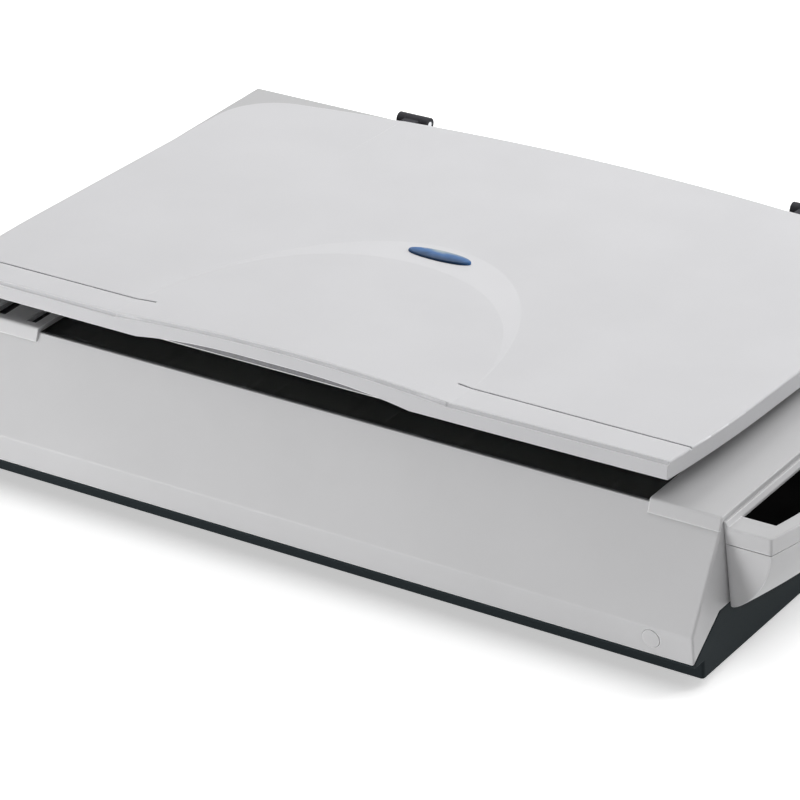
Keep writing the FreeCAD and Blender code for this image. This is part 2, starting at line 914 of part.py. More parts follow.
def pod_bezel():
    z0 = glass_z - pod_joint_drop
    z1 = glass_z - pod_top_drop
    rim = pod_slab(pod_front_y, pod_back_y, 0, body_right, z0, z1)

    def outer_corner(box):
        return box.XLength < 1e-3 and box.YLength < 1e-3 and box.XMin > body_right + 5
    rim = rounded_where(rim, pod_corner_radius, outer_corner)

    def outer_top(box):
        return abs(box.ZMin - z1) < 1e-3 and box.XMax > body_right + 5
    rim = rounded_where(rim, 1.0, outer_top)
    rise = front_prism([
        (body_right, z1 - 1),
        (body_right + bezel_flange, z1 - 1),
        (body_right + bezel_flange, z1),
        (body_right + bezel_flange / 2, glass_z),
        (body_right, glass_z),
    ], pod_front_y, pod_back_y)
    y0, y1 = plate_span()
    opening = pod_slab(y0, y1, plate_side, body_right + bezel_flange, z0 - 1, z1 + 1)
    hollow = pod_slab(pod_front_y + pod_wall, pod_back_y - pod_wall, pod_wall, body_right + pod_wall,
                      z0 - 1, plate_bottom_z())
    return rim.fuse(rise).cut([opening, hollow, valley_cutter()]).removeSplitter()


def plate_bottom_z():
    return glass_z - pod_top_drop - plate_drop - plate_thickness


def key_center_x(y):
    """Middle of the key plate at a given y."""
    return body_right + (bezel_flange + pod_reach(y) - plate_side) / 2


def key_places():
    return [(key_center_x(pod_front_y + y), pod_front_y + y) for y in small_key_places]


def button_outline(grow, z0, z1):
    """Scan button's body, with rounded ends."""
    y = pod_front_y + scan_button_y
    x = key_center_x(y)
    half_x = scan_button_size[0] / 2 + grow
    half_y = scan_button_size[1] / 2 + grow
    solid = block(x - half_x, x + half_x, y - half_y, y + half_y, z0, z1)
    return rounded_uprights(solid, half_x - 2.0)


def display_block(grow, z0, z1):
    y = pod_front_y + display_y
    x = key_center_x(y)
    half_x = display_size[0] / 2 + grow
    half_y = display_size[1] / 2 + grow
    return rounded_uprights(block(x - half_x, x + half_x, y - half_y, y + half_y, z0, z1), 1.5)


def key_plate():
    z0 = plate_bottom_z()
    z1 = z0 + plate_thickness
    y0, y1 = plate_span()
    plate = pod_slab(y0 + plate_gap, y1 - plate_gap, plate_side + plate_gap,
                     body_right + bezel_flange + plate_gap, z0, z1)
    lug_z0 = z0 - 1.5
    lugs = pod_slab(y0 - 3, y1 + 3, plate_side - 2, body_right + pod_wall + 0.3, lug_z0, z0)
    keyhole = pod_slab(y0 + 3, y1 - 3, plate_side + 3, body_right + bezel_flange + 2, lug_z0 - 1, z0)
    plate = plate.fuse(lugs.cut(keyhole))
    cuts = [button_outline(key_gap, lug_z0 - 1, z1 + 1), display_block(0.1, lug_z0 - 1, z1 + 1)]
    for x, y in key_places():
        cuts.append(bar((x, y, lug_z0 - 1), (0, 0, 1), small_key_radius + key_gap, 10))
    return plate.cut(cuts)


def crowned_top(solid, z1):
    top = [edge for edge in solid.Edges if abs(edge.BoundBox.ZMin - z1) < 1e-3]
    return solid.makeFillet(key_edge, top)


def scan_button():
    z_plate = plate_bottom_z()
    z1 = z_plate + plate_thickness + key_rise
    cap = crowned_top(button_outline(0, z_plate - key_rest_gap - key_flange_height, z1), z1)
    flange = button_outline(key_flange, z_plate - key_rest_gap - key_flange_height, z_plate - key_rest_gap)
    return cap.fuse(flange).removeSplitter()


def small_key(index):
    x, y = key_places()[index]
    z_plate = plate_bottom_z()
    z0 = z_plate - key_rest_gap - key_flange_height
    z1 = z_plate + plate_thickness + key_rise
    cap = crowned_top(bar((x, y, z0), (0, 0, 1), small_key_radius, z1 - z0), z1)
    flange = bar((x, y, z0), (0, 0, 1), small_key_radius + key_flange, key_flange_height)
    return cap.fuse(flange).removeSplitter()


def status_window():
    z0 = plate_bottom_z()
    return display_block(0, z0, z0 + plate_thickness - 0.2)


def button_board():
    z1 = glass_z - board_drop - pod_top_drop
    board = pod_slab(pod_front_y + button_board_front, pod_back_y - button_board_rear_gap, pod_wall + 6,
                     body_right + 3, z1 - board_thickness, z1)
    switch_top = plate_bottom_z() - key_rest_gap - key_flange_height - key_travel - 0.3
    pieces = [board]
    centers = key_places() + [(key_center_x(pod_front_y + scan_button_y), pod_front_y + scan_button_y)]
    for x, y in centers:
        half = switch_size / 2
        pieces.append(block(x - half, x + half, y - half, y + half, z1, switch_top - 1))
        pieces.append(bar((x, y, switch_top - 1), (0, 0, 1), switch_nub_radius, 1))
    x0 = body_right + 0.3
    reach, start, end = board_tab
    pieces.append(block(x0, body_right + reach, pod_front_y + start, pod_front_y + end,
                        z1 - board_thickness, z1))
    display_y_mm = pod_front_y + display_y
    display_x = key_center_x(display_y_mm)
    pieces.append(block(display_x - 6, display_x + 6, display_y_mm - 5, display_y_mm + 5,
                        z1, plate_bottom_z() - 0.3))
    return joined(pieces)


# Power button

def power_button():
    point, outward = power_axis()
    cap = Part.makeCylinder(power_radius, power_depth + power_proud, point - outward * power_depth, outward)
    rim = [edge for edge in cap.Edges if len(edge.Vertexes) == 1
           and (edge.CenterOfMass - (point + outward * power_proud)).Length < 1e-3]
    cap = cap.makeFillet(power_edge, rim)
    reach, thickness, gap = power_flange
    start = point - outward * (wall + thickness + gap)
    flange = Part.makeCylinder(power_radius + reach, thickness, start, outward)
    return cap.fuse(flange)


def power_switch():
    point, outward = power_axis()
    start = point - outward * (power_depth + power_switch_gap)
    body = Part.makeCylinder(power_switch_radius, power_switch_depth, start, outward * -1)
    half, front, rear = power_switch_foot
    foot = block(power_x - half, power_x + half, start.y + front, start.y + power_switch_depth - rear,
                 joint_front_z, start.z)
    return body.fuse(foot).removeSplitter()


# Lid

def lid_blank(skin, z0, z1):
    """The lid's plan drawn out upward, moved inward by a skin thickness."""
    cx = lid_center_x
    half_front = lid_front_half - skin
    half = lid_half - skin
    y_corner = lid_front_y + skin
    y_shoulder = lid_front_y + lid_shoulder_depth
    y_rear = lid_rear_y - skin
    radius = lid_rear_radius - skin
    corner = lid_rear_corner - skin
    rear_center_y = y_rear - radius
    shoulder_x = half - (half - half_front) / 4
    y_middle = (y_corner + y_shoulder) / 2
    corner_y = rear_center_y + math.sqrt((radius - corner) ** 2 - (half - corner) ** 2)
    share = radius / (radius - corner)
    rear_x = (half - corner) * share
    rear_y_at = rear_center_y + (corner_y - rear_center_y) * share
    turn = math.sqrt(0.5) * corner
    edges = [
        arc_edge((cx - half_front, y_corner, z0), (cx, y_corner - lid_front_bow, z0),
                 (cx + half_front, y_corner, z0)),
        arc_edge((cx + half_front, y_corner, z0), (cx + shoulder_x, y_middle, z0),
                 (cx + half, y_shoulder, z0)),
        line_edge((cx + half, y_shoulder, z0), (cx + half, corner_y, z0)),
        arc_edge((cx + half, corner_y, z0), (cx + half - corner + turn, corner_y + turn, z0),
                 (cx + rear_x, rear_y_at, z0)),
        arc_edge((cx + rear_x, rear_y_at, z0), (cx, y_rear, z0), (cx - rear_x, rear_y_at, z0)),
        arc_edge((cx - rear_x, rear_y_at, z0), (cx - half + corner - turn, corner_y + turn, z0),
                 (cx - half, corner_y, z0)),
        line_edge((cx - half, corner_y, z0), (cx - half, y_shoulder, z0)),
        arc_edge((cx - half, y_shoulder, z0), (cx - shoulder_x, y_middle, z0),
                 (cx - half_front, y_corner, z0)),
    ]
    return Part.Face(Part.Wire(edges)).extrude(Vector(0, 0, z1 - z0))


def arch_solid(skin):
    """Solid whose top is the arch that runs back from the middle of the lid's front."""
    crown_z = lid_top_z + arch_rise - skin
    radius = (arch_half * arch_half + arch_rise * arch_rise) / (2 * arch_rise)
    center_x = lid_center_x + arch_offset
    low = crown_z - 2 * arch_rise
    half = math.sqrt(radius * radius - (radius - 2 * arch_rise) ** 2)
    y0 = lid_front_y - 20
    face = Part.Face(Part.Wire([
        arc_edge((center_x - half, y0, low), (center_x, y0, crown_z), (center_x + half, y0, low)),
        line_edge((center_x + half, y0, low), (center_x - half, y0, low)),
    ]))
    return face.extrude(Vector(0, lid_depth, 0))


def ellipse_wire(half_x, half_y, z):
    center = Vector(lid_center_x + dome_offset, lid_front_y, z)
    ellipse = Part.Ellipse(center + Vector(0, half_y, 0), center + Vector(half_x, 0, 0), center)
    return Part.Wire([ellipse.toShape()])


def dome_solid():
    """Half-oval raised field: the arch, bounded by a slope that fades into the lid's top."""
    slope_x = (dome_foot_half - dome_crest_half) / arch_rise
    slope_y = (dome_foot_depth - dome_crest_depth) / arch_rise
    below = 3.0
    above = 1.5
    bottom = ellipse_wire(dome_foot_half + below * slope_x, dome_foot_depth + below * slope_y,
                          lid_top_z - below)
    top = ellipse_wire(dome_crest_half - above * slope_x, dome_crest_depth - above * slope_y,
                       lid_top_z + arch_rise + above)
    slope = Part.makeLoft([bottom, top], True, True)
    return slope.common(arch_solid(0))


def dome_hollow():
    """Hollow under the raised field, with upright walls inside the crest's edge."""
    foot = ellipse_wire(dome_crest_half - lid_wall, dome_crest_depth - lid_wall, lid_top_z - 2 * lid_wall)
    return Part.Face(foot).extrude(Vector(0, 0, 4 * arch_rise)).common(arch_solid(lid_wall))


def underside_arch(grow, depth):
    """Recess in the middle of the lid's lower front edge: a flat arch that steepens at its ends."""
    rise = arch_underside_rise + grow
    half = arch_underside_half + grow
    center_x = lid_center_x + arch_underside_offset
    y0 = lid_front_y - 10
    base = lid_bottom_z - 2.0
    steps = 6
    points = []
    for i in range(-steps, steps + 1):
        height = rise * (1 - abs(i / steps) ** arch_underside_power)
        points.append(Vector(center_x + half * i / steps, y0, lid_bottom_z + height))
    crown = Part.BSplineCurve()
    crown.interpolate(points)
    left = (center_x - half, y0, base)
    right = (center_x + half, y0, base)
    face = Part.Face(Part.Wire([
        crown.toShape(),
        line_edge(points[-1], right),
        line_edge(right, left),
        line_edge(left, points[0]),
    ]))
    return face.extrude(Vector(0, 10 + depth + grow, 0))


def front_cove_cutter():
    """Soft groove along the lid's upper front edge, over the arch and the level ends."""
    y_mid = lid_front_y - lid_front_bow
    arch_x = lid_center_x + arch_offset
    radius = (arch_half * arch_half + arch_rise * arch_rise) / (2 * arch_rise)
    crown_z = lid_top_z + arch_rise
    sweep = math.degrees(math.asin(arch_half / radius))
    axis_point = Vector(arch_x, y_mid + cove_setback, crown_z - radius)
    circle = Part.Face(Part.Wire([Part.Circle(
        Vector(arch_x, y_mid + cove_setback, crown_z - cove_drop), Vector(1, 0, 0), front_cove).toShape()]))
    circle.rotate(axis_point, Vector(0, 1, 0), -sweep)
    pieces = [circle.revolve(axis_point, Vector(0, 1, 0), 2 * sweep)]
    for side in (-1, 1):
        start = Vector(arch_x + side * (arch_half - cove_overlap), y_mid + cove_side_setback,
                       lid_top_z - cove_drop)
        end_x = lid_center_x + side * (lid_front_half + 4)
        end = Vector(end_x, lid_front_y + cove_end_setback, lid_top_z - cove_drop)
        run = end - start
        pieces.append(Part.makeCylinder(front_cove, run.Length, start, run))
    return pieces


def groove_cutters():
    y0 = front_y + groove_setback - groove_width / 2
    z0 = lid_top_z - groove_depth
    edge = lid_half + 1
    left = block(lid_center_x - edge, lid_center_x + groove_inner[0], y0, y0 + groove_width, z0, z0 + 5)
    right = block(lid_center_x + groove_inner[1], lid_center_x + edge, y0, y0 + groove_width, z0, z0 + 5)
    return [left, right]


def rear_crease_cutter():
    """Wedge that lets the lid's rear fall away, more towards the right."""
    y0 = front_y + rear_crease
    y1 = lid_rear_y + 5

    def wedge(x, drop):
        points = [Vector(x, y0, lid_top_z), Vector(x, y1, lid_top_z - drop), Vector(x, y1, lid_top_z + 5),
                  Vector(x, y0, lid_top_z + 5)]
        return Part.makePolygon(points + points[:1])
    left = wedge(lid_center_x + rear_crease_left, 0.05)
    right = wedge(lid_center_x + lid_half + 5, rear_crease_drop)
    return Part.makeLoft([left, right], True, True)


def lid_shell_closed():
    slab = lid_blank(0, lid_bottom_z, lid_top_z)

    def side_top(box):
        return abs(box.ZMin - lid_top_z) < 1e-3 and box.YMax > lid_front_y + lid_side_margin
    slab = rounded_where(slab, lid_top_edge, side_top)
    plan = lid_blank(0, lid_bottom_z, lid_top_z + 2 * arch_rise)
    outer = slab.fuse(dome_solid().common(plan))
    outer = outer.cut(groove_cutters() + [rear_crease_cutter()])
    outer = outer.cut(front_cove_cutter())
    cavity = lid_blank(lid_wall, lid_bottom_z - 1, lid_top_z - lid_wall)
    inner_plan = lid_blank(lid_wall + front_cove, lid_bottom_z - 1, lid_top_z + 2 * arch_rise)
    cavity = cavity.fuse(dome_hollow().common(inner_plan))
    cavity = cavity.cut(underside_arch(arch_recess_wall, arch_recess))
    shell = outer.cut([cavity, underside_arch(0, arch_recess)])
    notches = []
    for x in hinge_places:
        cx = lid_center_x + x
        half = arm_leaf_width / 2 + arm_gap
        notches.append(block(cx - half, cx + half, hinge_y - arm_length, hinge_y,
                             lid_bottom_z - 1, hinge_z + arm_thickness / 2 + arm_gap))
    return shell.cut(notches)


def lid_liner_closed():
    skin = lid_wall + liner_gap
    plate = lid_blank(skin, lid_bottom_z, lid_bottom_z + liner_thickness)
    cuts = [underside_arch(arch_recess_wall + liner_gap, arch_recess)]
    for x in hinge_places:
        cx = lid_center_x + x
        half = arm_leaf_width / 2 + arm_gap
        cuts.append(block(cx - half, cx + half, hinge_y - arm_length - arm_gap, hinge_y,
                          lid_bottom_z - 1, lid_top_z))
    plate = plate.cut(cuts)
    pillars = []
    for x, y in lid_screw_places():
        pillars.append(ring((x, y, lid_bottom_z + liner_thickness), (0, 0, 1), 3.0,
                            lid_screw_radius + thread_clearance,
                            lid_top_z - lid_wall - lid_bottom_z - liner_thickness))
        plate = plate.cut(bar((x, y, lid_bottom_z - 1), (0, 0, 1), lid_screw_radius + thread_clearance, 5))
    return plate.fuse(pillars)


def lid_screw_places():
    near = front_y + lid_screw_front
    far = lid_rear_y - lid_screw_rear_gap
    side = lid_half - lid_screw_inset
    return [(lid_center_x + s * side, y) for s in (-1, 1) for y in (near, far)]


def lid_screws_closed():
    screws = []
    for x, y in lid_screw_places():
        head = bar((x, y, lid_bottom_z - lid_screw_head_height), (0, 0, 1), lid_screw_head_radius,
                   lid_screw_head_height)
        shank = bar((x, y, lid_bottom_z), (0, 0, 1), lid_screw_radius, lid_screw_length)
        screws.append(head.fuse(shank))
    return Part.makeCompound(screws)


def pad_block(z0, z1):
    solid = block(
        window_left + pad_side_gap, window_right - pad_side_gap,
        front_y + pad_front, front_y + window_depth - pad_rear_gap, z0, z1,
    )
    return rounded_uprights(solid, 4.0)


def pad_sheet_closed():
    z0 = glass_z + pad_rest_gap
    return pad_block(z0, z0 + pad_sheet_thickness)


def pad_foam_closed():
    return pad_block(glass_z + pad_rest_gap + pad_sheet_thickness, lid_bottom_z)


def badge_place():
    """Middle of the badge, on the slope behind the raised field, and the slope's fall."""
    fall = arch_rise / (dome_foot_depth - dome_crest_depth)
    y = front_y + badge_y
    height = arch_rise - (y - lid_front_y - dome_crest_depth) * fall
    return Vector(lid_center_x + badge_offset, y, lid_top_z + height), math.degrees(math.atan(fall))


def lid_badge_closed():
    half_x = badge_size[0] / 2
    half_y = badge_size[1] / 2
    center, angle = badge_place()
    low = center - Vector(0, 0, badge_sink)
    rim = Part.Ellipse(low + Vector(half_x, 0, 0), low + Vector(0, half_y, 0), low).toShape()
    plate = Part.Face(Part.Wire([rim])).extrude(Vector(0, 0, badge_sink + badge_height))
    top = [edge for edge in plate.Edges if abs(edge.BoundBox.ZMin - center.z - badge_height) < 1e-3]
    plate = plate.makeFillet(badge_edge, top)
    plate.rotate(center, Vector(1, 0, 0), -angle)
    return plate


def lid_shell_with_seat():
    """The lid's shell with the badge's shallow seat cut into the slope."""
    badge = lid_badge_closed()
    shell = lid_shell_closed()
    return shell.cut(badge)


# Hinges

def hinge_arms_closed():
    arms = []
    for x in hinge_places:
        cx = lid_center_x + x
        half = post_width / 2 - ear_width - arm_gap
        knuckle = bar((cx - half, hinge_y, hinge_z), (1, 0, 0), knuckle_radius, 2 * half)
        arm = block(cx - half, cx + half, hinge_y - arm_length, hinge_y,
                    hinge_z - arm_thickness / 2, hinge_z + arm_thickness / 2)
        leaf = block(cx - arm_leaf_width / 2, cx + arm_leaf_width / 2,
                     hinge_y - arm_length + arm_gap, hinge_y - arm_length + arm_leaf_length,
                     hinge_z - arm_thickness / 2, hinge_z + arm_thickness / 2)
        arm = joined([knuckle, arm, leaf])
        arms.append(arm.cut(bar((cx - half - 1, hinge_y, hinge_z), (1, 0, 0),
                                hinge_pin_radius + hinge_fit, 2 * half + 2)))
    return Part.makeCompound(arms)


def hinge_posts():
    posts = []
    for x in hinge_places:
        cx = lid_center_x + x
        half = post_width / 2
        stem = block(cx - half, cx + half, hinge_y - post_depth / 2, hinge_y + post_depth / 2,
                     hinge_z - post_length, hinge_z)
        head = bar((cx - half, hinge_y, hinge_z), (1, 0, 0), knuckle_radius, post_width)
        gap_half = half - ear_width
        slot = block(cx - gap_half, cx + gap_half, hinge_y - 2 * knuckle_radius, hinge_y + 2 * knuckle_radius,
                     hinge_z - knuckle_radius - arm_gap, hinge_z + 2 * knuckle_radius)
        pin_hole = bar((cx - half - 1, hinge_y, hinge_z), (1, 0, 0), hinge_pin_radius, post_width + 2)
        posts.append(stem.fuse(head).cut([slot, pin_hole]))
    return Part.makeCompound(posts)


def hinge_pins():
    pins = []
    for x in hinge_places:
        cx = lid_center_x + x
        pins.append(bar((cx - post_width / 2, hinge_y, hinge_z), (1, 0, 0), hinge_pin_radius, post_width))
    return Part.makeCompound(pins)


def hinge_sockets():
    sockets = []
    for x in hinge_places:
        cx = lid_center_x + x
        hx = post_width / 2 + post_gap
        hy = post_depth / 2 + post_gap
        z0 = hinge_z - post_length - post_gap - socket_wall
        outer = block(cx - hx - socket_wall, cx + hx + socket_wall, hinge_y - hy - socket_wall,
                      rear_y - wall, z0, glass_z)
        inner = block(cx - hx, cx + hx, hinge_y - hy, hinge_y + hy, z0 + socket_wall, glass_z + 1)
        sockets.append(outer.cut(inner))
    return Part.makeCompound(sockets)


# Carriage

def carriage_outline():
    """Side outline (y, z) of the carriage, whose nose follows the slanted front panel."""
    top = glass_z - carriage_top_drop
    bottom = carriage_bottom_z
    return [
        (front_y + carriage_front, top),
        (front_y - carriage_nose, glass_z - carriage_front_drop),
        (front_y - carriage_nose, bottom),
        (front_y + carriage_rear, bottom),
        (front_y + carriage_rear, top),
    ]


def carriage_x(offset):
    return carriage_left + offset


def carriage_housing():
    outline = carriage_outline()
    outer = side_prism(outline, carriage_x(0), carriage_x(carriage_width))
    inner = inset(outline, carriage_wall)
    hollow = side_prism(inner, carriage_x(carriage_wall), carriage_x(carriage_width - carriage_wall))
    top = glass_z - carriage_top_drop
    opening = block(carriage_x(carriage_wall), carriage_x(carriage_width - carriage_wall),
                    front_y + carriage_front + 4, front_y + carriage_rear - carriage_wall,
                    top - 2 * carriage_wall, top + 1)
    shell = outer.cut([hollow, opening])
    start, length, height = bush_block
    rod_z = glass_z - rod_drop
    block_y0 = front_y + carriage_rear - carriage_wall
    block_y1 = front_y + rod_y + bush_radius + 2
    bushing = block(carriage_x(start), carriage_x(start + length), block_y0, block_y1,
                    rod_z - height / 2, rod_z + height / 2)
    frame_y = front_y + mirror_frame_front
    mirror_frame = block(carriage_x(carriage_width - mirror_frame_width), carriage_x(carriage_width - 1),
                         frame_y, frame_y + carriage_wall, carriage_bottom_z + 1, glass_z - mirror_frame_top)
    shell = shell.fuse([bushing, mirror_frame])
    bore = bar((carriage_x(start) - 1, front_y + rod_y, rod_z), (1, 0, 0), bush_radius, length + 2)
    return shell.cut(bore)


def lock_catch():
    """Pair of ribs under the carriage that take the transport lock between them."""
    inner = lock_tab[0] / 2 + catch_gap
    rib_x, rib_y, rib_z = catch_rib
    y0 = front_y + lock_y + lock_stem[1] + catch_lead
    z0 = carriage_bottom_z - rib_z
    left = block(lock_x - inner - rib_x, lock_x - inner, y0, y0 + rib_y, z0, carriage_bottom_z)
    right = block(lock_x + inner, lock_x + inner + rib_x, y0, y0 + rib_y, z0, carriage_bottom_z)
    return Part.makeCompound([left, right])


def carriage_cover():
    top = glass_z - carriage_top_drop
    cover = block(carriage_x(0), carriage_x(carriage_width), front_y + carriage_front,
                  front_y + carriage_rear, top, top + cover_thickness)
    slit = block(carriage_x(scan_line - scan_slit / 2), carriage_x(scan_line + scan_slit / 2),
                 front_y + scan_front, front_y + scan_back, top - 1, top + cover_thickness + 1)
    lip = block(carriage_x(carriage_wall + 0.3), carriage_x(carriage_wall + 2.3),
                front_y + carriage_front + 5, front_y + carriage_rear - carriage_wall - 1, top - 2, top)
    return cover.fuse(lip).cut(slit)


def lamp_tube():
    x = carriage_x(scan_line + lamp_offset)
    z = glass_z - lamp_drop
    y0 = front_y + scan_front + 3
    y1 = front_y + scan_back - 1
    tube = bar((x, y0, z), (0, 1, 0), lamp_radius, y1 - y0)
    caps = [bar((x, start, z), (0, 1, 0), lamp_radius + lamp_cap_rise, lamp_cap_length)
            for start in (y0 - 1, y1 + 1 - lamp_cap_length)]
    return joined([tube] + caps)


def lamp_reflector():
    """Bent bright strip that wraps the lamp's outer and lower sides."""
    x = carriage_x(scan_line + lamp_offset)
    z = glass_z - lamp_drop
    y0 = front_y + scan_front + 1
    y1 = front_y + scan_back + 2
    right = carriage_x(carriage_width - carriage_wall)
    reach = lamp_radius + lamp_cap_rise + reflector_gap
    outer = reach + reflector_thickness
    return front_prism([
        (x - reach, z - reach),
        (x - reach, z - outer),
        (right, z - outer),
        (right, z + outer),
        (x - reflector_overlap, z + outer),
        (x - reflector_overlap, z + reach),
        (x + reach, z + reach),
        (x + reach, z - reach),
    ], y0, y1)


def fold_mirrors():
    pieces = []
    for offset, drop, tilt, height in mirrors:
        x = carriage_x(offset)
        z = glass_z - drop
        y0 = front_y + mirror_frame_front + carriage_wall
        y1 = front_y + carriage_rear - carriage_wall
        half = mirror_thickness / 2
        strip = block(x - half, x + half, y0, y1, z - height / 2, z + height / 2)
        strip.rotate(Vector(x, 0, z), Vector(0, 1, 0), tilt)
        pieces.append(strip)
    return Part.makeCompound(pieces)


def lens_barrel():
    x, y, drop = lens_place
    center = (carriage_x(x), front_y + y, glass_z - drop)
    barrel = bar(center, (1, 0, 0), lens_radius, lens_length)
    grip_end_gap, grip_rise, grip_width = lens_grip
    grip = bar((center[0] + lens_length - grip_end_gap, center[1], center[2]), (1, 0, 0),
               lens_radius + grip_rise, grip_width)
    bottom = carriage_bottom_z + carriage_wall
    start, end_gap, half = lens_saddle
    saddle = block(center[0] + start, center[0] + lens_length - end_gap, center[1] - half,
                   center[1] + half, bottom, center[2])
    depth, rim = lens_recess
    hollow = bar((center[0] + lens_length - depth, center[1], center[2]), (1, 0, 0),
                 lens_radius - rim, depth + 1)
    return joined([barrel, grip, saddle]).cut(hollow)


def sensor_board():
    x, y, drop = lens_place
    width, height = sensor_size
    x0 = carriage_x(x) - sensor_distance
    bottom = carriage_bottom_z + carriage_wall
    plate = block(x0, x0 + sensor_thickness, front_y + y - width / 2, front_y + y + width / 2,
                  bottom, bottom + height)
    z = glass_z - drop
    thickness, half_y, half_z = sensor_chip
    chip = block(x0 + sensor_thickness, x0 + sensor_thickness + thickness, front_y + y - half_y,
                 front_y + y + half_y, z - half_z, z + half_z)
    depth, half_y, low, high = sensor_plug
    plug = block(x0 - depth, x0, front_y + y - half_y, front_y + y + half_y, bottom + low, bottom + high)
    return joined([plate, chip, plug])


def guide_bushes():
    start, length, _ = bush_block
    z = glass_z - rod_drop
    bushes = []
    for offset in (start, start + length - bush_length):
        bushes.append(ring((carriage_x(offset), front_y + rod_y, z), (1, 0, 0), bush_radius,
                           rod_radius + bush_fit, bush_length))
    return Part.makeCompound(bushes)


def glide_pad():
    z1 = carriage_bottom_z
    pads = []
    for offset in (pad_inset, carriage_width - pad_inset - pad_length):
        pads.append(block(carriage_x(offset), carriage_x(offset + pad_length),
                          front_y + rail_y - rail_width / 2, front_y + rail_y + rail_width / 2,
                          rail_z() + sliding_gap, z1))
    return Part.makeCompound(pads)


def belt_clamp():
    start, length, height = bush_block
    y0 = front_y + rod_y + bush_radius + 2
    run_y = belt_center_y - belt_line
    z_top = glass_z - rod_drop
    z_low = belt_z - belt_width / 2 - clamp_skirt
    x0 = carriage_x(start + clamp_inset)
    x1 = carriage_x(start + length - clamp_inset)
    clamp = block(x0, x1, y0, run_y + belt_thickness / 2 + sliding_gap + clamp_back, z_low, z_top)
    slot = block(x0 - 1, x1 + 1, run_y - belt_thickness / 2 - sliding_gap,
                 run_y + belt_thickness / 2 + sliding_gap, z_low - 1, belt_z + belt_width / 2 + sliding_gap)
    return clamp.cut(slot)


# Rod, rail and drive

def rail_z():
    return carriage_bottom_z - pad_thickness - sliding_gap


def support_rail():
    clearance = boss_radius + 2 * sliding_gap
    return block(screw_left_x + clearance, screw_right_x - clearance, front_y + rail_y - rail_width / 2,
                 front_y + rail_y + rail_width / 2, rail_z() - rail_thickness, rail_z())


def rod_span():
    return body_left + wall + 2, body_right - wall - 2


def guide_rod():
    x0, x1 = rod_span()
    return bar((x0, front_y + rod_y, glass_z - rod_drop), (1, 0, 0), rod_radius, x1 - x0)


def rod_brackets():
    x0, x1 = rod_span()
    z = glass_z - rod_drop
    y0 = front_y + rod_y - bracket_width / 2
    brackets = []
    for start in (x0 - 1, x1 + 1 - bracket_thickness):
        plate = block(start, start + bracket_thickness, y0, y0 + bracket_width, floor_z,
                      z + bracket_rise)
        shoulder = [edge for edge in plate.Edges
                    if edge.BoundBox.YLength < 1e-3 and edge.BoundBox.ZMin > z + bracket_rise - 0.1
                    and edge.BoundBox.XLength > 1]
        plate = plate.makeFillet(bracket_shoulder, shoulder)
        seat = bar((x0, front_y + rod_y, z), (1, 0, 0), rod_radius + rod_seat_fit, x1 - x0)
        brackets.append(plate.cut(seat))
    return Part.makeCompound(brackets)


def belt_loop(outer):
    """Plan outline of the belt round both pulleys, at the belt's inner or outer face."""
    radius = belt_line + (belt_thickness / 2 if outer else -belt_thickness / 2)
    y0 = belt_center_y - radius
    y1 = belt_center_y + radius
    return Part.Face(Part.Wire([
        line_edge((idler_x, y0, 0), (drive_x, y0, 0)),
        arc_edge((drive_x, y0, 0), (drive_x + radius, belt_center_y, 0), (drive_x, y1, 0)),
        line_edge((drive_x, y1, 0), (idler_x, y1, 0)),
        arc_edge((idler_x, y1, 0), (idler_x - radius, belt_center_y, 0), (idler_x, y0, 0)),
    ]))


def drive_belt():
    band = belt_loop(True).cut(belt_loop(False))
    band.translate(Vector(0, 0, belt_z - belt_width / 2))
    return band.extrude(Vector(0, 0, belt_width))


def pulley_at(x):
    """Flanged belt pulley, without its bore."""
    half = belt_width / 2 + sliding_gap
    drum = bar((x, belt_center_y, belt_z - half - pulley_flange), (0, 0, 1), pulley_radius,
               2 * (half + pulley_flange))
    low = bar((x, belt_center_y, belt_z - half - pulley_flange), (0, 0, 1), pulley_flange_radius,
              pulley_flange)
    high = bar((x, belt_center_y, belt_z + half), (0, 0, 1), pulley_flange_radius, pulley_flange)
    return [drum, low, high]


def pulley_bottom_z():
    return belt_z - belt_width / 2 - sliding_gap - pulley_flange


def pulley_top_z():
    return belt_z + belt_width / 2 + sliding_gap + pulley_flange


def involute_point(base_radius, radius, side, offset):
    roll = math.sqrt(max(radius * radius / (base_radius * base_radius) - 1, 0))
    angle = offset + side * (roll - math.atan(roll))
    return radius * math.cos(angle), radius * math.sin(angle)


def gear_blank(teeth, x, y, z, height, phase):
    """Spur gear with involute flanks, thinned by the backlash."""
    pitch_radius = gear_module * teeth / 2
    pressure = math.radians(gear_pressure_angle)
    base_radius = pitch_radius * math.cos(pressure)
    tip_radius = pitch_radius + gear_addendum * gear_module
    root_radius = pitch_radius - gear_dedendum * gear_module
    start_radius = max(base_radius, root_radius)
    half_tooth = math.pi / 2 / teeth - gear_backlash / 2 / pitch_radius
    flank = half_tooth + math.tan(pressure) - pressure
    steps = 3
    radii = [start_radius + (tip_radius - start_radius) * i / steps for i in range(steps + 1)]
    points = []
    for tooth in range(teeth):
        middle = phase + 2 * math.pi * tooth / teeth
        right = [involute_point(base_radius, r, 1, -flank) for r in radii]
        left = [involute_point(base_radius, r, -1, flank) for r in reversed(radii)]
        foot_angle = math.atan2(right[0][1], right[0][0])
        foot = (root_radius * math.cos(foot_angle), root_radius * math.sin(foot_angle))
        rear_foot = (foot[0], -foot[1])
        for px, py in [foot] + right + left + [rear_foot]:
            points.append((x + px * math.cos(middle) - py * math.sin(middle),
                           y + px * math.sin(middle) + py * math.cos(middle)))
    cleaned = [points[0]]
    for point in points[1:]:
        if math.dist(point, cleaned[-1]) > 1e-3:
            cleaned.append(point)
    return plan_prism(cleaned, z, z + height)


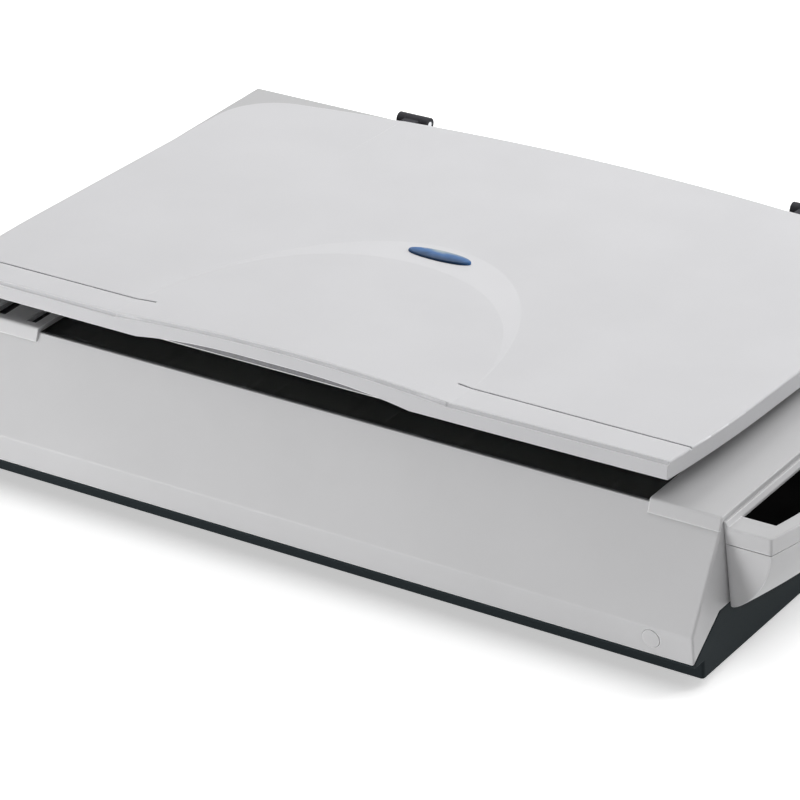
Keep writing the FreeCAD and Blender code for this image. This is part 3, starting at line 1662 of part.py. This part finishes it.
def bracket_plate_z():
    """Top of the motor bracket's plate."""
    return gear_z - bracket_plate_drop


def drive_gear():
    gear = gear_blank(gear_teeth, drive_x, belt_center_y, gear_z, gear_height, 0)
    hub_z = bracket_plate_z() + sliding_gap
    hub = bar((drive_x, belt_center_y, hub_z), (0, 0, 1), gear_hub_radius, pulley_bottom_z() - hub_z)
    solid = joined([gear, hub] + pulley_at(drive_x))
    bore = bar((drive_x, belt_center_y, hub_z - 1), (0, 0, 1), stud_radius + stud_fit, 4 * bore_overrun)
    return solid.cut(bore)


def motor_pinion():
    """Pinion on the motor's shaft, turned so that a gap of it faces a tooth of the drive gear."""
    phase = math.pi / pinion_teeth
    pinion = gear_blank(pinion_teeth, pinion_x, belt_center_y, gear_z - pinion_overlap,
                        gear_height + 2 * pinion_overlap, phase)
    shaft_z = bracket_plate_z() - plate_steel - motor_height + 3
    shaft = bar((pinion_x, belt_center_y, shaft_z), (0, 0, 1), motor_shaft_radius,
                gear_z + gear_height + shaft_rise - shaft_z)
    return pinion.fuse(shaft)


def stepper_motor():
    z1 = bracket_plate_z() - plate_steel
    can = bar((pinion_x, belt_center_y, z1 - motor_height), (0, 0, 1), motor_radius,
              motor_height - motor_ear_thickness)
    ears = block(pinion_x - motor_ear, pinion_x + motor_ear, belt_center_y - motor_ear_half,
                 belt_center_y + motor_ear_half, z1 - motor_ear_thickness, z1)
    ears = rounded_uprights(ears, motor_ear_corner)
    neck = bar((pinion_x, belt_center_y, z1 - 2), (0, 0, 1), motor_neck_radius, 2 + plate_steel - 0.2)
    bore = bar((pinion_x, belt_center_y, z1 - motor_height + 2.5), (0, 0, 1),
               motor_shaft_radius + stud_fit, motor_height + bore_overrun)
    disc = bar((pinion_x, belt_center_y, z1 - motor_ear_thickness), (0, 0, 1), motor_radius,
               motor_ear_thickness)
    return joined([can, ears, disc, neck]).cut(bore)


def motor_bracket():
    z1 = bracket_plate_z()
    x0 = pinion_x - motor_ear - bracket_leg - 1
    x1 = body_right - wall - bracket_thickness - 2.5
    y0 = belt_center_y - motor_bracket_half
    y1 = belt_center_y + motor_bracket_half
    plate = block(x0, x1, y0, y1, z1 - plate_steel, z1)
    left = block(x0, x0 + bracket_leg, y0, y1, floor_z, z1)
    right = block(x1 - bracket_leg, x1, y0, y1, floor_z, z1)
    stud = bar((drive_x, belt_center_y, z1 - plate_steel), (0, 0, 1), stud_radius,
               pulley_top_z() + 1 - z1 + plate_steel)
    solid = joined([plate, left, right, stud])
    hole = bar((pinion_x, belt_center_y, z1 - bore_overrun), (0, 0, 1),
               motor_neck_radius + motor_neck_gap, 2 * bore_overrun)
    return solid.cut(hole)


def idler_plate_z():
    return pulley_bottom_z() - sliding_gap - plate_steel


def idler_bracket():
    z0 = idler_plate_z()
    start, end, half = idler_plate
    plate = block(idler_x - start, idler_x + end, belt_center_y - half, belt_center_y + half,
                  z0, z0 + plate_steel)
    thickness, half, rise = idler_tab
    tab = block(idler_x + end - thickness, idler_x + end, belt_center_y - half, belt_center_y + half,
                z0, belt_z + rise)
    stud = bar((idler_x, belt_center_y, z0), (0, 0, 1), stud_radius, pulley_top_z() + 1 - z0)
    return joined([plate, tab, stud])


def idler_pulley():
    solid = joined(pulley_at(idler_x))
    bore = bar((idler_x, belt_center_y, pulley_bottom_z() - 1), (0, 0, 1), stud_radius + stud_fit,
               2 * bore_overrun)
    return solid.cut(bore)


def tension_spring():
    """Small compression spring that pushes the idler's bracket to the left."""
    x0 = idler_x + idler_plate[1] + spring_end_gap + spring_wire / 2
    x1 = idler_x + spring_end - spring_end_gap - spring_wire / 2
    length = x1 - x0
    helix = Part.makeHelix(length / spring_turns, length, spring_radius)
    circle = Part.Circle(Vector(spring_radius, 0, 0), Vector(0, 1, 0), spring_wire / 2)
    section = Part.Wire([circle.toShape()])
    coil = Part.Wire(helix.Edges).makePipeShell([section], True, True)
    coil.rotate(Vector(0, 0, 0), Vector(0, 1, 0), 90)
    coil.translate(Vector(x0, belt_center_y, belt_z - spring_drop))
    return coil


# Electronics

def usb_block(grow):
    width, height = usb_size
    x = main_board_place[0] + usb_place
    z0 = main_board_z
    return block(x - width / 2 - grow, x + width / 2 + grow, rear_y - usb_depth,
                 rear_y + (1 if grow else -socket_face_gap), z0 - grow, z0 + height + grow)


def inlet_block(grow):
    width, height = inlet_size
    x = main_board_place[0] + inlet_place
    z0 = main_board_z
    return block(x - width / 2 - grow, x + width / 2 + grow, rear_y - inlet_depth,
                 rear_y + (1 if grow else -socket_face_gap), z0 - grow, z0 + height + grow)


def usb_socket():
    x = main_board_place[0] + usb_place
    z = main_board_z + usb_size[1] / 2
    width, height = usb_hole
    y1 = rear_y - socket_face_gap
    hole = block(x - width / 2, x + width / 2, y1 - usb_hole_depth, y1 + 1, z - height / 2, z + height / 2)
    return usb_block(0).cut(hole)


def dc_inlet():
    x = main_board_place[0] + inlet_place
    z = main_board_z + inlet_size[1] / 2
    y1 = rear_y - socket_face_gap
    hole = bar((x, y1 - inlet_hole_depth, z), (0, 1, 0), inlet_hole_radius, inlet_hole_depth + 1)
    return inlet_block(0).cut(hole)


def main_board():
    x, y = main_board_place
    x0 = x
    y0 = front_y + y
    width, depth = main_board_size
    z1 = main_board_z
    board = block(x0, x0 + width, y0, y0 + depth, z1 - board_thickness, z1)
    pieces = [board]
    for dx, dy, length, breadth, height in (main_chip, small_chip):
        pieces.append(block(x0 + dx, x0 + dx + length, y0 + dy, y0 + dy + breadth, z1, z1 + height))
    start, end, side, height = ribbon_plug
    plug_y0 = ribbon_front_y() - side
    plug_y1 = ribbon_front_y() + ribbon_width + side
    pieces.append(block(x0 + start, x0 + end, plug_y0, plug_y1, z1, z1 + height))
    for dx, dy in capacitor_places:
        pieces.append(bar((x0 + dx, y0 + dy, z1), (0, 0, 1), capacitor_radius, capacitor_height))
    return joined(pieces)


def ribbon_front_y():
    return rear_y - ribbon_rear_gap


def ribbon_cable():
    """Flat cable: from the main board down to the tray's floor, along it, and up to the carriage."""
    y0 = ribbon_front_y()
    half = ribbon_thickness / 2
    start_x = main_board_place[0] + ribbon_plug[0]
    start_z = main_board_z + ribbon_plug[3] / 2
    ramp_start, ramp_end = ribbon_ramp
    low_z = ribbon_low_z
    bend_x = carriage_x(ribbon_bend_offset)
    high_z = low_z + 2 * ribbon_bend
    end_x = carriage_x(ribbon_end_offset)
    upper = block(bend_x, end_x, y0, y0 + ribbon_width, high_z - half, high_z + half)
    bend = ring((bend_x, y0, low_z + ribbon_bend), (0, 1, 0), ribbon_bend + half, ribbon_bend - half,
                ribbon_width)
    bend = bend.common(block(bend_x - 20, bend_x, y0 - 1, y0 + ribbon_width + 1, low_z - 5, high_z + 5))
    lower = block(bend_x, start_x - ramp_start, y0, y0 + ribbon_width, low_z - half, low_z + half)
    ramp = front_prism([
        (start_x - ramp_start, low_z - half), (start_x - ramp_end, start_z - half),
        (start_x, start_z - half), (start_x, start_z + half),
        (start_x - ramp_end, start_z + half), (start_x - ramp_start, low_z + half),
    ], y0, y0 + ribbon_width)
    return joined([upper, bend, lower, ramp])


def ribbon_clamp():
    """Clamp under the carriage that takes the ribbon's end."""
    z1 = carriage_bottom_z
    z0 = ribbon_low_z + 2 * ribbon_bend + ribbon_thickness / 2
    start, end = ribbon_clamp_offsets
    y0 = ribbon_front_y()
    return block(carriage_x(start), carriage_x(end), y0, y0 + ribbon_width, z0, z1)


# Transport lock

def transport_lock():
    stem_x, stem_y = lock_stem
    knob_x, knob_y, knob_z = lock_knob
    plate_x, plate_y, plate_z = lock_plate
    tab_x, tab_y = lock_tab
    y0 = front_y + lock_y + lock_slot_gap
    y = y0 + stem_y / 2
    gap = lock_slot_gap
    knob = block(lock_x - knob_x / 2, lock_x + knob_x / 2, y - knob_y / 2, y + knob_y / 2,
                 base_z - gap - knob_z, base_z - gap)
    stem = block(lock_x - stem_x / 2, lock_x + stem_x / 2, y0, y0 + stem_y, base_z - gap, floor_z + gap)
    plate = block(lock_x - plate_x / 2, lock_x + plate_x / 2, y - plate_y / 2, y + plate_y / 2,
                  floor_z + gap, floor_z + gap + plate_z)
    tab_z0 = floor_z + gap + plate_z
    tab = block(lock_x - tab_x / 2, lock_x + tab_x / 2, y - tab_y / 2, y + tab_y / 2,
                tab_z0, carriage_bottom_z - lock_tab_gap)
    ridges = []
    inset, thickness, height = lock_ridge
    for step in lock_ridge_places:
        ridges.append(block(lock_x - knob_x / 2 + inset, lock_x + knob_x / 2 - inset, y + step,
                            y + step + thickness, base_z - gap - knob_z - height, base_z - gap - knob_z))
    return joined([knob, stem, plate, tab] + ridges)


def opened(shape):
    """The lid's pieces as they stand at rest, a little open."""
    shape.rotate(Vector(0, hinge_y, hinge_z), Vector(-1, 0, 0), lid_rest_angle)
    return shape


nodes = {
    "lower_housing": lower_housing(),
    "upper_housing": upper_housing(),
    "housing_screws": housing_screws(),
    "rubber_feet": rubber_feet(),
    "window_frame": window_frame(),
    "document_glass": document_glass(),
    "slit_windows": slit_windows(),
    "calibration_strip": calibration_strip(),
    "edge_strip": edge_strip(),
    "pod_body": pod_body(),
    "pod_bezel": pod_bezel(),
    "key_plate": key_plate(),
    "scan_button": scan_button(),
    "mode_key": small_key(0),
    "up_key": small_key(1),
    "down_key": small_key(2),
    "status_window": status_window(),
    "button_board": button_board(),
    "power_button": power_button(),
    "power_switch": power_switch(),
    "lid_shell": opened(lid_shell_with_seat()),
    "lid_liner": opened(lid_liner_closed()),
    "lid_screws": opened(lid_screws_closed()),
    "pad_foam": opened(pad_foam_closed()),
    "pad_sheet": opened(pad_sheet_closed()),
    "lid_badge": opened(lid_badge_closed()),
    "hinge_arms": opened(hinge_arms_closed()),
    "hinge_posts": hinge_posts(),
    "hinge_pins": hinge_pins(),
    "hinge_sockets": hinge_sockets(),
    "carriage_housing": carriage_housing(),
    "lock_catch": lock_catch(),
    "carriage_cover": carriage_cover(),
    "lamp_tube": lamp_tube(),
    "lamp_reflector": lamp_reflector(),
    "fold_mirrors": fold_mirrors(),
    "lens_barrel": lens_barrel(),
    "sensor_board": sensor_board(),
    "guide_bushes": guide_bushes(),
    "glide_pad": glide_pad(),
    "belt_clamp": belt_clamp(),
    "ribbon_clamp": ribbon_clamp(),
    "support_rail": support_rail(),
    "guide_rod": guide_rod(),
    "rod_brackets": rod_brackets(),
    "drive_belt": drive_belt(),
    "drive_gear": drive_gear(),
    "motor_pinion": motor_pinion(),
    "stepper_motor": stepper_motor(),
    "motor_bracket": motor_bracket(),
    "idler_bracket": idler_bracket(),
    "idler_pulley": idler_pulley(),
    "tension_spring": tension_spring(),
    "usb_socket": usb_socket(),
    "dc_inlet": dc_inlet(),
    "main_board": main_board(),
    "ribbon_cable": ribbon_cable(),
    "transport_lock": transport_lock(),
}

os.makedirs("parts", exist_ok=True)
for name, shape in nodes.items():
    shape.exportStep("parts/" + name + ".step")
    box = shape.BoundBox
    print(name, len(shape.Solids), "valid" if shape.isValid() else "INVALID", round(shape.Volume),
          [round(v, 1) for v in (box.XMin, box.XMax, box.YMin, box.YMax, box.ZMin, box.ZMax)])
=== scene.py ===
import math

import bpy
from mathutils import Matrix, Vector

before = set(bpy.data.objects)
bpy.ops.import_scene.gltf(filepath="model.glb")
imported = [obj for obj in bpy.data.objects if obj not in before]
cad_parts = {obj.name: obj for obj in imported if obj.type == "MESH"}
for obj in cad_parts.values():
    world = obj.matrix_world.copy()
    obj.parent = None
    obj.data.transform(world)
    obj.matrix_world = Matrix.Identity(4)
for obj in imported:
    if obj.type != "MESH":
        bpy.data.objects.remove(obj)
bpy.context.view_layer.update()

bpy.context.scene.view_settings.view_transform = "Standard"

# Lengths are in metres and angles in degrees, but the camera's sensor is in millimetres

# Camera at the photograph's angle
CAMERA_PLACE = (1.308245, -1.930594, 1.242637)
CAMERA_AZIMUTH = 35.39
CAMERA_ELEVATION = 27.45
CAMERA_ROLL = -2.90
CLIP_START = 0.05
CLIP_END = 50.0
SENSOR_WIDTH = 36.0
PHOTO_WIDTH_PX = 800
FOCAL_LENGTH_PX = 4229

# Lamps: name, place, point they shine at, size, and power in watts
LAMPS = (
    ("back", (-0.5, 1.6, 2.2), (0, 0, 0.1), (1.6, 1.2), 19.0),
    ("back_right", (1.5, 1.4, 1.9), (0, 0, 0.1), (1.3, 1.0), 20.0),
    ("left", (-1.3, 0.7, 1.9), (0, 0, 0.1), (2.0, 1.4), 17.0),
    ("front", (-1.9, -2.6, 0.16), (-0.1, -0.1, 0.03), (1.2, 0.3), 28.0),
    ("low", (-0.9, -1.3, 0.07), (-0.2, -0.2, 0.03), (0.9, 0.12), 6.5),
    ("right", (2.0, 1.8, 0.8), (0.2, 0, 0.08), (1.2, 0.9), 17.0),
    ("top", (0.6, -0.1, 2.4), (0, 0, 0.1), (2.4, 1.8), 26.0),
)

# World and floor
WHITE = (1.0, 1.0, 1.0, 1.0)
SOFT_STRENGTH = 0.05
WHITE_STRENGTH = 1.0
FLOOR_HALF = 1.5
FLOOR_COLOR = (0.93, 0.93, 0.93, 1)
FLOOR_ROUGHNESS = 0.9
FLOOR_SPECULAR = 0.1
FLOOR_GLOW = 0.50

# Plastics
EDGE_RADIUS = 0.0011
# Painted highlight: how much lighter the colour is drawn over moulding edges
EDGE_HIGHLIGHT_GAIN = 1.5
# Painted shade: share of the colour kept on the housing's level faces
TOP_SHADE_FACTOR = 0.78
LIGHT_GREY = (0.615, 0.614, 0.622)
LID_GREY = (0.625, 0.624, 0.638)

# Oval plate on the lid
BADGE_Y = 0.0005
BADGE_HALF = 0.008
BADGE_SILVER = (0.36, 0.42, 0.43, 1)
BADGE_BLUES = ((0.08, 0.35), (0.35, 0.9), (0.70, 1.9))
BADGE_SILVER_PLACE = 0.98

# Stretch of a noise's values that a ramp or range takes in
NOISE_LOW = 0.35
NOISE_HIGH = 0.65


# Camera

def add_camera():
    azimuth = math.radians(CAMERA_AZIMUTH)
    elevation = math.radians(CAMERA_ELEVATION)
    roll = math.radians(CAMERA_ROLL)
    back = Vector((math.sin(azimuth) * math.cos(elevation), -math.cos(azimuth) * math.cos(elevation),
                   math.sin(elevation)))
    level = Vector((math.cos(azimuth), math.sin(azimuth), 0))
    upright = back.cross(level)
    right = math.cos(roll) * level + math.sin(roll) * upright
    up = math.cos(roll) * upright - math.sin(roll) * level
    turn = Matrix((right, up, back)).transposed().to_4x4()
    data = bpy.data.cameras.new("camera")
    data.sensor_width = SENSOR_WIDTH
    data.lens = FOCAL_LENGTH_PX / PHOTO_WIDTH_PX * SENSOR_WIDTH
    data.clip_start = CLIP_START
    data.clip_end = CLIP_END
    camera = bpy.data.objects.new("camera", data)
    camera.matrix_world = Matrix.Translation(CAMERA_PLACE) @ turn
    bpy.context.collection.objects.link(camera)
    bpy.context.scene.camera = camera


# Light and floor

def add_lamp(name, place, aim, size, power):
    data = bpy.data.lights.new(name, "AREA")
    data.shape = "RECTANGLE"
    data.size, data.size_y = size
    data.energy = power
    lamp = bpy.data.objects.new(name, data)
    lamp.location = place
    lamp.rotation_euler = (Vector(aim) - Vector(place)).to_track_quat("-Z", "Y").to_euler()
    lamp.visible_camera = False
    bpy.context.collection.objects.link(lamp)


def seen_rays(tree):
    """Value that is 1 for camera, glossy and transmission rays, which show the white background."""
    rays = tree.nodes.new("ShaderNodeLightPath")
    seen = rays.outputs["Is Camera Ray"]
    for name in ("Is Glossy Ray", "Is Transmission Ray"):
        larger = tree.nodes.new("ShaderNodeMath")
        larger.operation = "MAXIMUM"
        tree.links.new(seen, larger.inputs[0])
        tree.links.new(rays.outputs[name], larger.inputs[1])
        seen = larger.outputs[0]
    return seen


def mixed_by_rays(tree, plain, white):
    """Shader that is white for the rays that show the background, and plain for the others."""
    mix = tree.nodes.new("ShaderNodeMixShader")
    tree.links.new(seen_rays(tree), mix.inputs["Fac"])
    tree.links.new(plain, mix.inputs[1])
    tree.links.new(white, mix.inputs[2])
    return mix.outputs[0]


def add_world():
    world = bpy.data.worlds.new("studio")
    world.use_nodes = True
    tree = world.node_tree
    soft = tree.nodes["Background"]
    white = tree.nodes.new("ShaderNodeBackground")
    for node, strength in ((soft, SOFT_STRENGTH), (white, WHITE_STRENGTH)):
        node.inputs["Color"].default_value = WHITE
        node.inputs["Strength"].default_value = strength
    surface = mixed_by_rays(tree, soft.outputs[0], white.outputs[0])
    tree.links.new(surface, tree.nodes["World Output"].inputs["Surface"])
    bpy.context.scene.world = world


def add_floor():
    mesh = bpy.data.meshes.new("floor")
    corners = [(x * FLOOR_HALF, y * FLOOR_HALF, 0) for x, y in ((-1, -1), (1, -1), (1, 1), (-1, 1))]
    mesh.from_pydata(corners, [], [(0, 1, 2, 3)])
    floor = bpy.data.objects.new("floor", mesh)
    bpy.context.collection.objects.link(floor)
    material = bpy.data.materials.new("floor_paper")
    material.use_nodes = True
    tree = material.node_tree
    shader = tree.nodes["Principled BSDF"]
    shader.inputs["Base Color"].default_value = FLOOR_COLOR
    shader.inputs["Roughness"].default_value = FLOOR_ROUGHNESS
    shader.inputs["Specular IOR Level"].default_value = FLOOR_SPECULAR
    glow = tree.nodes.new("ShaderNodeEmission")
    glow.inputs["Strength"].default_value = FLOOR_GLOW
    lifted = tree.nodes.new("ShaderNodeAddShader")
    tree.links.new(shader.outputs[0], lifted.inputs[0])
    tree.links.new(glow.outputs[0], lifted.inputs[1])
    surface = mixed_by_rays(tree, shader.outputs[0], lifted.outputs[0])
    tree.links.new(surface, tree.nodes["Material Output"].inputs["Surface"])
    mesh.materials.append(material)


# Materials

class Tree:
    """A material's node tree, with short calls for the nodes used here."""

    def __init__(self, material):
        material.use_nodes = True
        self.tree = material.node_tree
        self.tree.nodes.clear()
        self.shader = self.add("ShaderNodeBsdfPrincipled")
        out = self.add("ShaderNodeOutputMaterial")
        self.link(self.shader.outputs[0], out.inputs["Surface"])
        self.place = self.add("ShaderNodeTexCoord").outputs["Object"]

    def add(self, kind, **settings):
        node = self.tree.nodes.new(kind)
        for key, value in settings.items():
            setattr(node, key, value)
        return node

    def link(self, source, target):
        self.tree.links.new(source, target)

    def put(self, socket, value):
        """Constant on one of the shader's own sockets."""
        self.shader.inputs[socket].default_value = value

    def feed(self, socket, source):
        """Changing value on one of the shader's own sockets."""
        self.link(source, self.shader.inputs[socket])

    def true_normal(self):
        return self.add("ShaderNodeNewGeometry").outputs["True Normal"]

    def parts(self, vector):
        node = self.add("ShaderNodeSeparateXYZ")
        self.link(vector, node.inputs[0])
        return node.outputs

    def stretched(self, scale):
        node = self.add("ShaderNodeMapping")
        node.inputs["Scale"].default_value = scale
        self.link(self.place, node.inputs["Vector"])
        return node.outputs[0]

    def noise(self, scale, detail=2.0, stretch=None):
        node = self.add("ShaderNodeTexNoise")
        node.inputs["Scale"].default_value = scale
        node.inputs["Detail"].default_value = detail
        self.link(self.stretched(stretch) if stretch else self.place, node.inputs["Vector"])
        return node.outputs[0]

    def ranged(self, value, low, high, from_low=NOISE_LOW, from_high=NOISE_HIGH):
        node = self.add("ShaderNodeMapRange")
        self.link(value, node.inputs["Value"])
        node.inputs["From Min"].default_value = from_low
        node.inputs["From Max"].default_value = from_high
        node.inputs["To Min"].default_value = low
        node.inputs["To Max"].default_value = high
        return node.outputs["Result"]

    def tint(self, value, dark, light, from_low=NOISE_LOW, from_high=NOISE_HIGH):
        ramp = self.add("ShaderNodeValToRGB")
        for stop, place, color in zip(ramp.color_ramp.elements, (from_low, from_high), (dark, light)):
            stop.position = place
            stop.color = (*color, 1)
        self.link(value, ramp.inputs["Fac"])
        self.feed("Base Color", ramp.outputs["Color"])
        return ramp.outputs["Color"]

    def rounded(self, radius):
        node = self.add("ShaderNodeBevel", samples=6)
        node.inputs["Radius"].default_value = radius
        return node.outputs["Normal"]

    def mixed_color(self, share, color, other, **settings):
        mix = self.add("ShaderNodeMix", data_type="RGBA", **settings)
        self.link(share, mix.inputs["Factor"])
        self.link(color, mix.inputs["A"])
        mix.inputs["B"].default_value = (*other, 1)
        self.feed("Base Color", mix.outputs["Result"])
        return mix.outputs["Result"]

    def painted_edge_highlight(self, color, normal, light):
        """Painted highlight along moulding edges: the colour gets lighter where the normal turns over
        an edge.
        """
        turn = self.add("ShaderNodeVectorMath", operation="DOT_PRODUCT")
        self.link(normal, turn.inputs[0])
        self.link(self.true_normal(), turn.inputs[1])
        share = self.ranged(turn.outputs["Value"], low=1.0, high=0.0, from_low=0.88, from_high=0.998)
        return self.mixed_color(share, color, light)

    def painted_shade_on_tops(self, color, factor):
        """Painted shade: level faces drawn a little darker than upright ones."""
        up = self.parts(self.true_normal())["Z"]
        share = self.ranged(up, low=0.0, high=1.0, from_low=0.7, from_high=0.95)
        self.mixed_color(share, color, (factor, factor, factor), blend_type="MULTIPLY")

    def bump(self, value, strength, distance, normal=None):
        node = self.add("ShaderNodeBump")
        node.inputs["Strength"].default_value = strength
        node.inputs["Distance"].default_value = distance
        self.link(value, node.inputs["Height"])
        if normal:
            self.link(normal, node.inputs["Normal"])
        self.feed("Normal", node.outputs["Normal"])

    def rough(self, value, low, high):
        self.feed("Roughness", self.ranged(value, low, high))


def scaled(color, factor):
    return tuple(channel * factor for channel in color)


def moulded_plastic(tree, color, rough=0.42, grain=2600.0, strength=0.12, specular=0.22):
    """Moulded plastic: a fine spark-eroded grain, a faint cloudiness in the colour and a painted
    highlight along its edges.
    """
    cloud = tree.noise(scale=14.0, detail=3.0)
    grit = tree.noise(scale=grain, detail=1.0)
    base = tree.tint(cloud, scaled(color, 0.985), scaled(color, 1.015))
    tree.rough(grit, rough - 0.04, rough + 0.06)
    turned = tree.rounded(EDGE_RADIUS)
    tree.bump(grit, strength, distance=0.00006, normal=turned)
    tree.put("Specular IOR Level", specular)
    # Painted highlight: the colour is drawn lighter over the edges
    return tree.painted_edge_highlight(base, turned, scaled(color, EDGE_HIGHLIGHT_GAIN))


def shell_plastic(tree, color):
    """The housing's plastic, with painted shade that darkens its level faces."""
    tree.painted_shade_on_tops(moulded_plastic(tree, color), TOP_SHADE_FACTOR)


def lid_plastic(tree, color):
    """The lid's plastic, with a finer grain and hardly any sheen."""
    moulded_plastic(tree, color, rough=0.33, grain=3000.0, strength=0.06, specular=0.08)


def dark_plastic(tree, color):
    """Dark plastic with a coarser grain."""
    moulded_plastic(tree, color, rough=0.55, grain=1800.0, strength=0.2, specular=0.05)


def gloss_plastic(tree, color):
    """Clear-coated plastic with a slightly uneven gloss."""
    tree.tint(tree.noise(scale=30.0), scaled(color, 0.9), scaled(color, 1.1))
    tree.rough(tree.noise(scale=160.0, detail=3.0), 0.084, 0.18)
    tree.put("Coat Weight", 0.5)
    tree.put("Coat Roughness", 0.06)


def panel_plastic(tree, color):
    """Deep black panel with a fine satin surface."""
    tree.tint(tree.noise(scale=40.0), scaled(color, 0.8), scaled(color, 1.2))
    tree.rough(tree.noise(scale=500.0), 0.2, 0.26)
    tree.put("Specular IOR Level", 0.0)


def badge_plate(tree, color):
    """Lacquered plate that runs from dark at the front to silver at the rear."""
    cloud = tree.ranged(tree.noise(scale=90.0), -0.08, 0.08)
    across = tree.parts(tree.place)["Y"]
    along = tree.ranged(across, 0.0, 1.0, BADGE_Y - BADGE_HALF, BADGE_Y + BADGE_HALF)
    total = tree.add("ShaderNodeMath", operation="ADD")
    tree.link(cloud, total.inputs[0])
    tree.link(along, total.inputs[1])
    ramp = tree.add("ShaderNodeValToRGB")
    stops = ramp.color_ramp.elements
    stops[1].position = BADGE_SILVER_PLACE
    stops[1].color = BADGE_SILVER
    stops[0].position = BADGE_BLUES[0][0]
    stops[0].color = (*scaled(color, BADGE_BLUES[0][1]), 1)
    for place, factor in BADGE_BLUES[1:]:
        stops.new(place).color = (*scaled(color, factor), 1)
    tree.link(total.outputs[0], ramp.inputs["Fac"])
    tree.feed("Base Color", ramp.outputs["Color"])
    tree.rough(tree.noise(scale=300.0), 0.34, 0.44)
    tree.put("Specular IOR Level", 0.05)


def rubber(tree, color):
    """Matt rubber with a visible grain."""
    grit = tree.noise(scale=1500.0, detail=3.0)
    tree.tint(grit, scaled(color, 0.85), scaled(color, 1.15))
    tree.rough(grit, 0.7, 0.85)
    tree.bump(grit, strength=0.3, distance=0.0001)


def metal(tree, color):
    """Bare metal with fine drawing marks along one direction."""
    marks = tree.noise(scale=220.0, detail=3.0, stretch=(1.0, 1.0, 60.0))
    tree.tint(marks, scaled(color, 0.93), scaled(color, 1.05))
    tree.rough(marks, 0.22, 0.4)
    tree.put("Metallic", 1.0)


def mirror(tree, color):
    tree.put("Base Color", (*color, 1))
    tree.put("Metallic", 1.0)
    tree.rough(tree.noise(scale=90.0), 0.01, 0.04)


def clear_glass(tree, color):
    tree.put("Base Color", (*color, 1))
    tree.put("Transmission Weight", 1.0)
    tree.put("IOR", 1.5)
    tree.put("Alpha", 0.55)
    tree.rough(tree.noise(scale=60.0), 0.0, 0.02)


def slit_glass(tree, color):
    tree.put("Base Color", (*color, 1))
    tree.put("Transmission Weight", 0.3)
    tree.rough(tree.noise(scale=60.0), 0.02, 0.06)


def lamp_glass(tree, color):
    tree.put("Base Color", (*color, 1))
    tree.put("Subsurface Weight", 0.2)
    tree.rough(tree.noise(scale=200.0), 0.08, 0.18)


def foam(tree, color):
    """Open-cell foam."""
    cells = tree.add("ShaderNodeTexVoronoi")
    cells.inputs["Scale"].default_value = 700.0
    tree.link(tree.place, cells.inputs["Vector"])
    distance = cells.outputs["Distance"]
    tree.tint(distance, scaled(color, 0.75), scaled(color, 1.1), from_low=0.0, from_high=0.6)
    tree.bump(distance, strength=0.5, distance=0.0004)
    tree.put("Roughness", 0.92)


def board(tree, color):
    """Printed circuit board: a green mask over faint lighter tracks."""
    tracks = tree.add("ShaderNodeTexBrick")
    tracks.inputs["Scale"].default_value = 160.0
    tracks.inputs["Mortar Size"].default_value = 0.03
    for socket, factor in (("Color1", 1.0), ("Color2", 0.8), ("Mortar", 1.8)):
        tracks.inputs[socket].default_value = (*scaled(color, factor), 1)
    tree.link(tree.place, tracks.inputs["Vector"])
    tree.feed("Base Color", tracks.outputs["Color"])
    tree.rough(tree.noise(scale=120.0), 0.3, 0.45)


# Each CAD material's finish and colour
FINISHES = {
    "shell_light": (shell_plastic, LIGHT_GREY),
    "lid_light": (lid_plastic, LID_GREY),
    "tray_dark": (dark_plastic, (0.020, 0.026, 0.029)),
    "clear_glass": (clear_glass, (0.70, 0.76, 0.745)),
    "slit_glass": (slit_glass, (0.012, 0.012, 0.015)),
    "panel_black": (panel_plastic, (0.002, 0.002, 0.002)),
    "key_grey": (moulded_plastic, (0.42, 0.43, 0.45)),
    "key_blue": (moulded_plastic, (0.07, 0.17, 0.30)),
    "display_smoke": (gloss_plastic, (0.02, 0.032, 0.028)),
    "button_light": (moulded_plastic, LIGHT_GREY),
    "badge_silver": (badge_plate, (0.035, 0.085, 0.19)),
    "white_inner": (moulded_plastic, (0.66, 0.67, 0.68)),
    "foam_grey": (foam, (0.22, 0.22, 0.23)),
    "pad_white": (moulded_plastic, (0.80, 0.80, 0.79)),
    "rubber_black": (rubber, (0.022, 0.022, 0.024)),
    "screw_steel": (metal, (0.50, 0.51, 0.53)),
    "rod_steel": (metal, (0.66, 0.67, 0.69)),
    "plate_steel": (metal, (0.55, 0.56, 0.58)),
    "pin_steel": (metal, (0.58, 0.59, 0.61)),
    "hinge_dark": (dark_plastic, (0.05, 0.05, 0.056)),
    "mechanism_black": (dark_plastic, (0.018, 0.018, 0.02)),
    "cover_black": (dark_plastic, (0.02, 0.02, 0.022)),
    "lamp_white": (lamp_glass, (0.88, 0.90, 0.91)),
    "reflector_bright": (metal, (0.80, 0.81, 0.82)),
    "mirror_bright": (mirror, (0.88, 0.90, 0.91)),
    "lens_black": (dark_plastic, (0.02, 0.02, 0.022)),
    "board_green": (board, (0.012, 0.11, 0.045)),
    "bush_bronze": (metal, (0.50, 0.33, 0.16)),
    "glide_white": (moulded_plastic, (0.76, 0.75, 0.71)),
    "gear_white": (moulded_plastic, (0.72, 0.71, 0.66)),
    "belt_black": (rubber, (0.018, 0.018, 0.02)),
    "motor_metal": (dark_plastic, (0.10, 0.105, 0.115)),
    "socket_metal": (metal, (0.62, 0.63, 0.65)),
    "ribbon_white": (moulded_plastic, (0.72, 0.73, 0.74)),
    "lock_orange": (moulded_plastic, (0.50, 0.13, 0.03)),
}


def paint():
    for material in list(bpy.data.materials):
        if material.name in FINISHES:
            finish, color = FINISHES[material.name]
            finish(Tree(material), color)


add_camera()
for lamp in LAMPS:
    add_lamp(*lamp)
add_world()
add_floor()
paint()
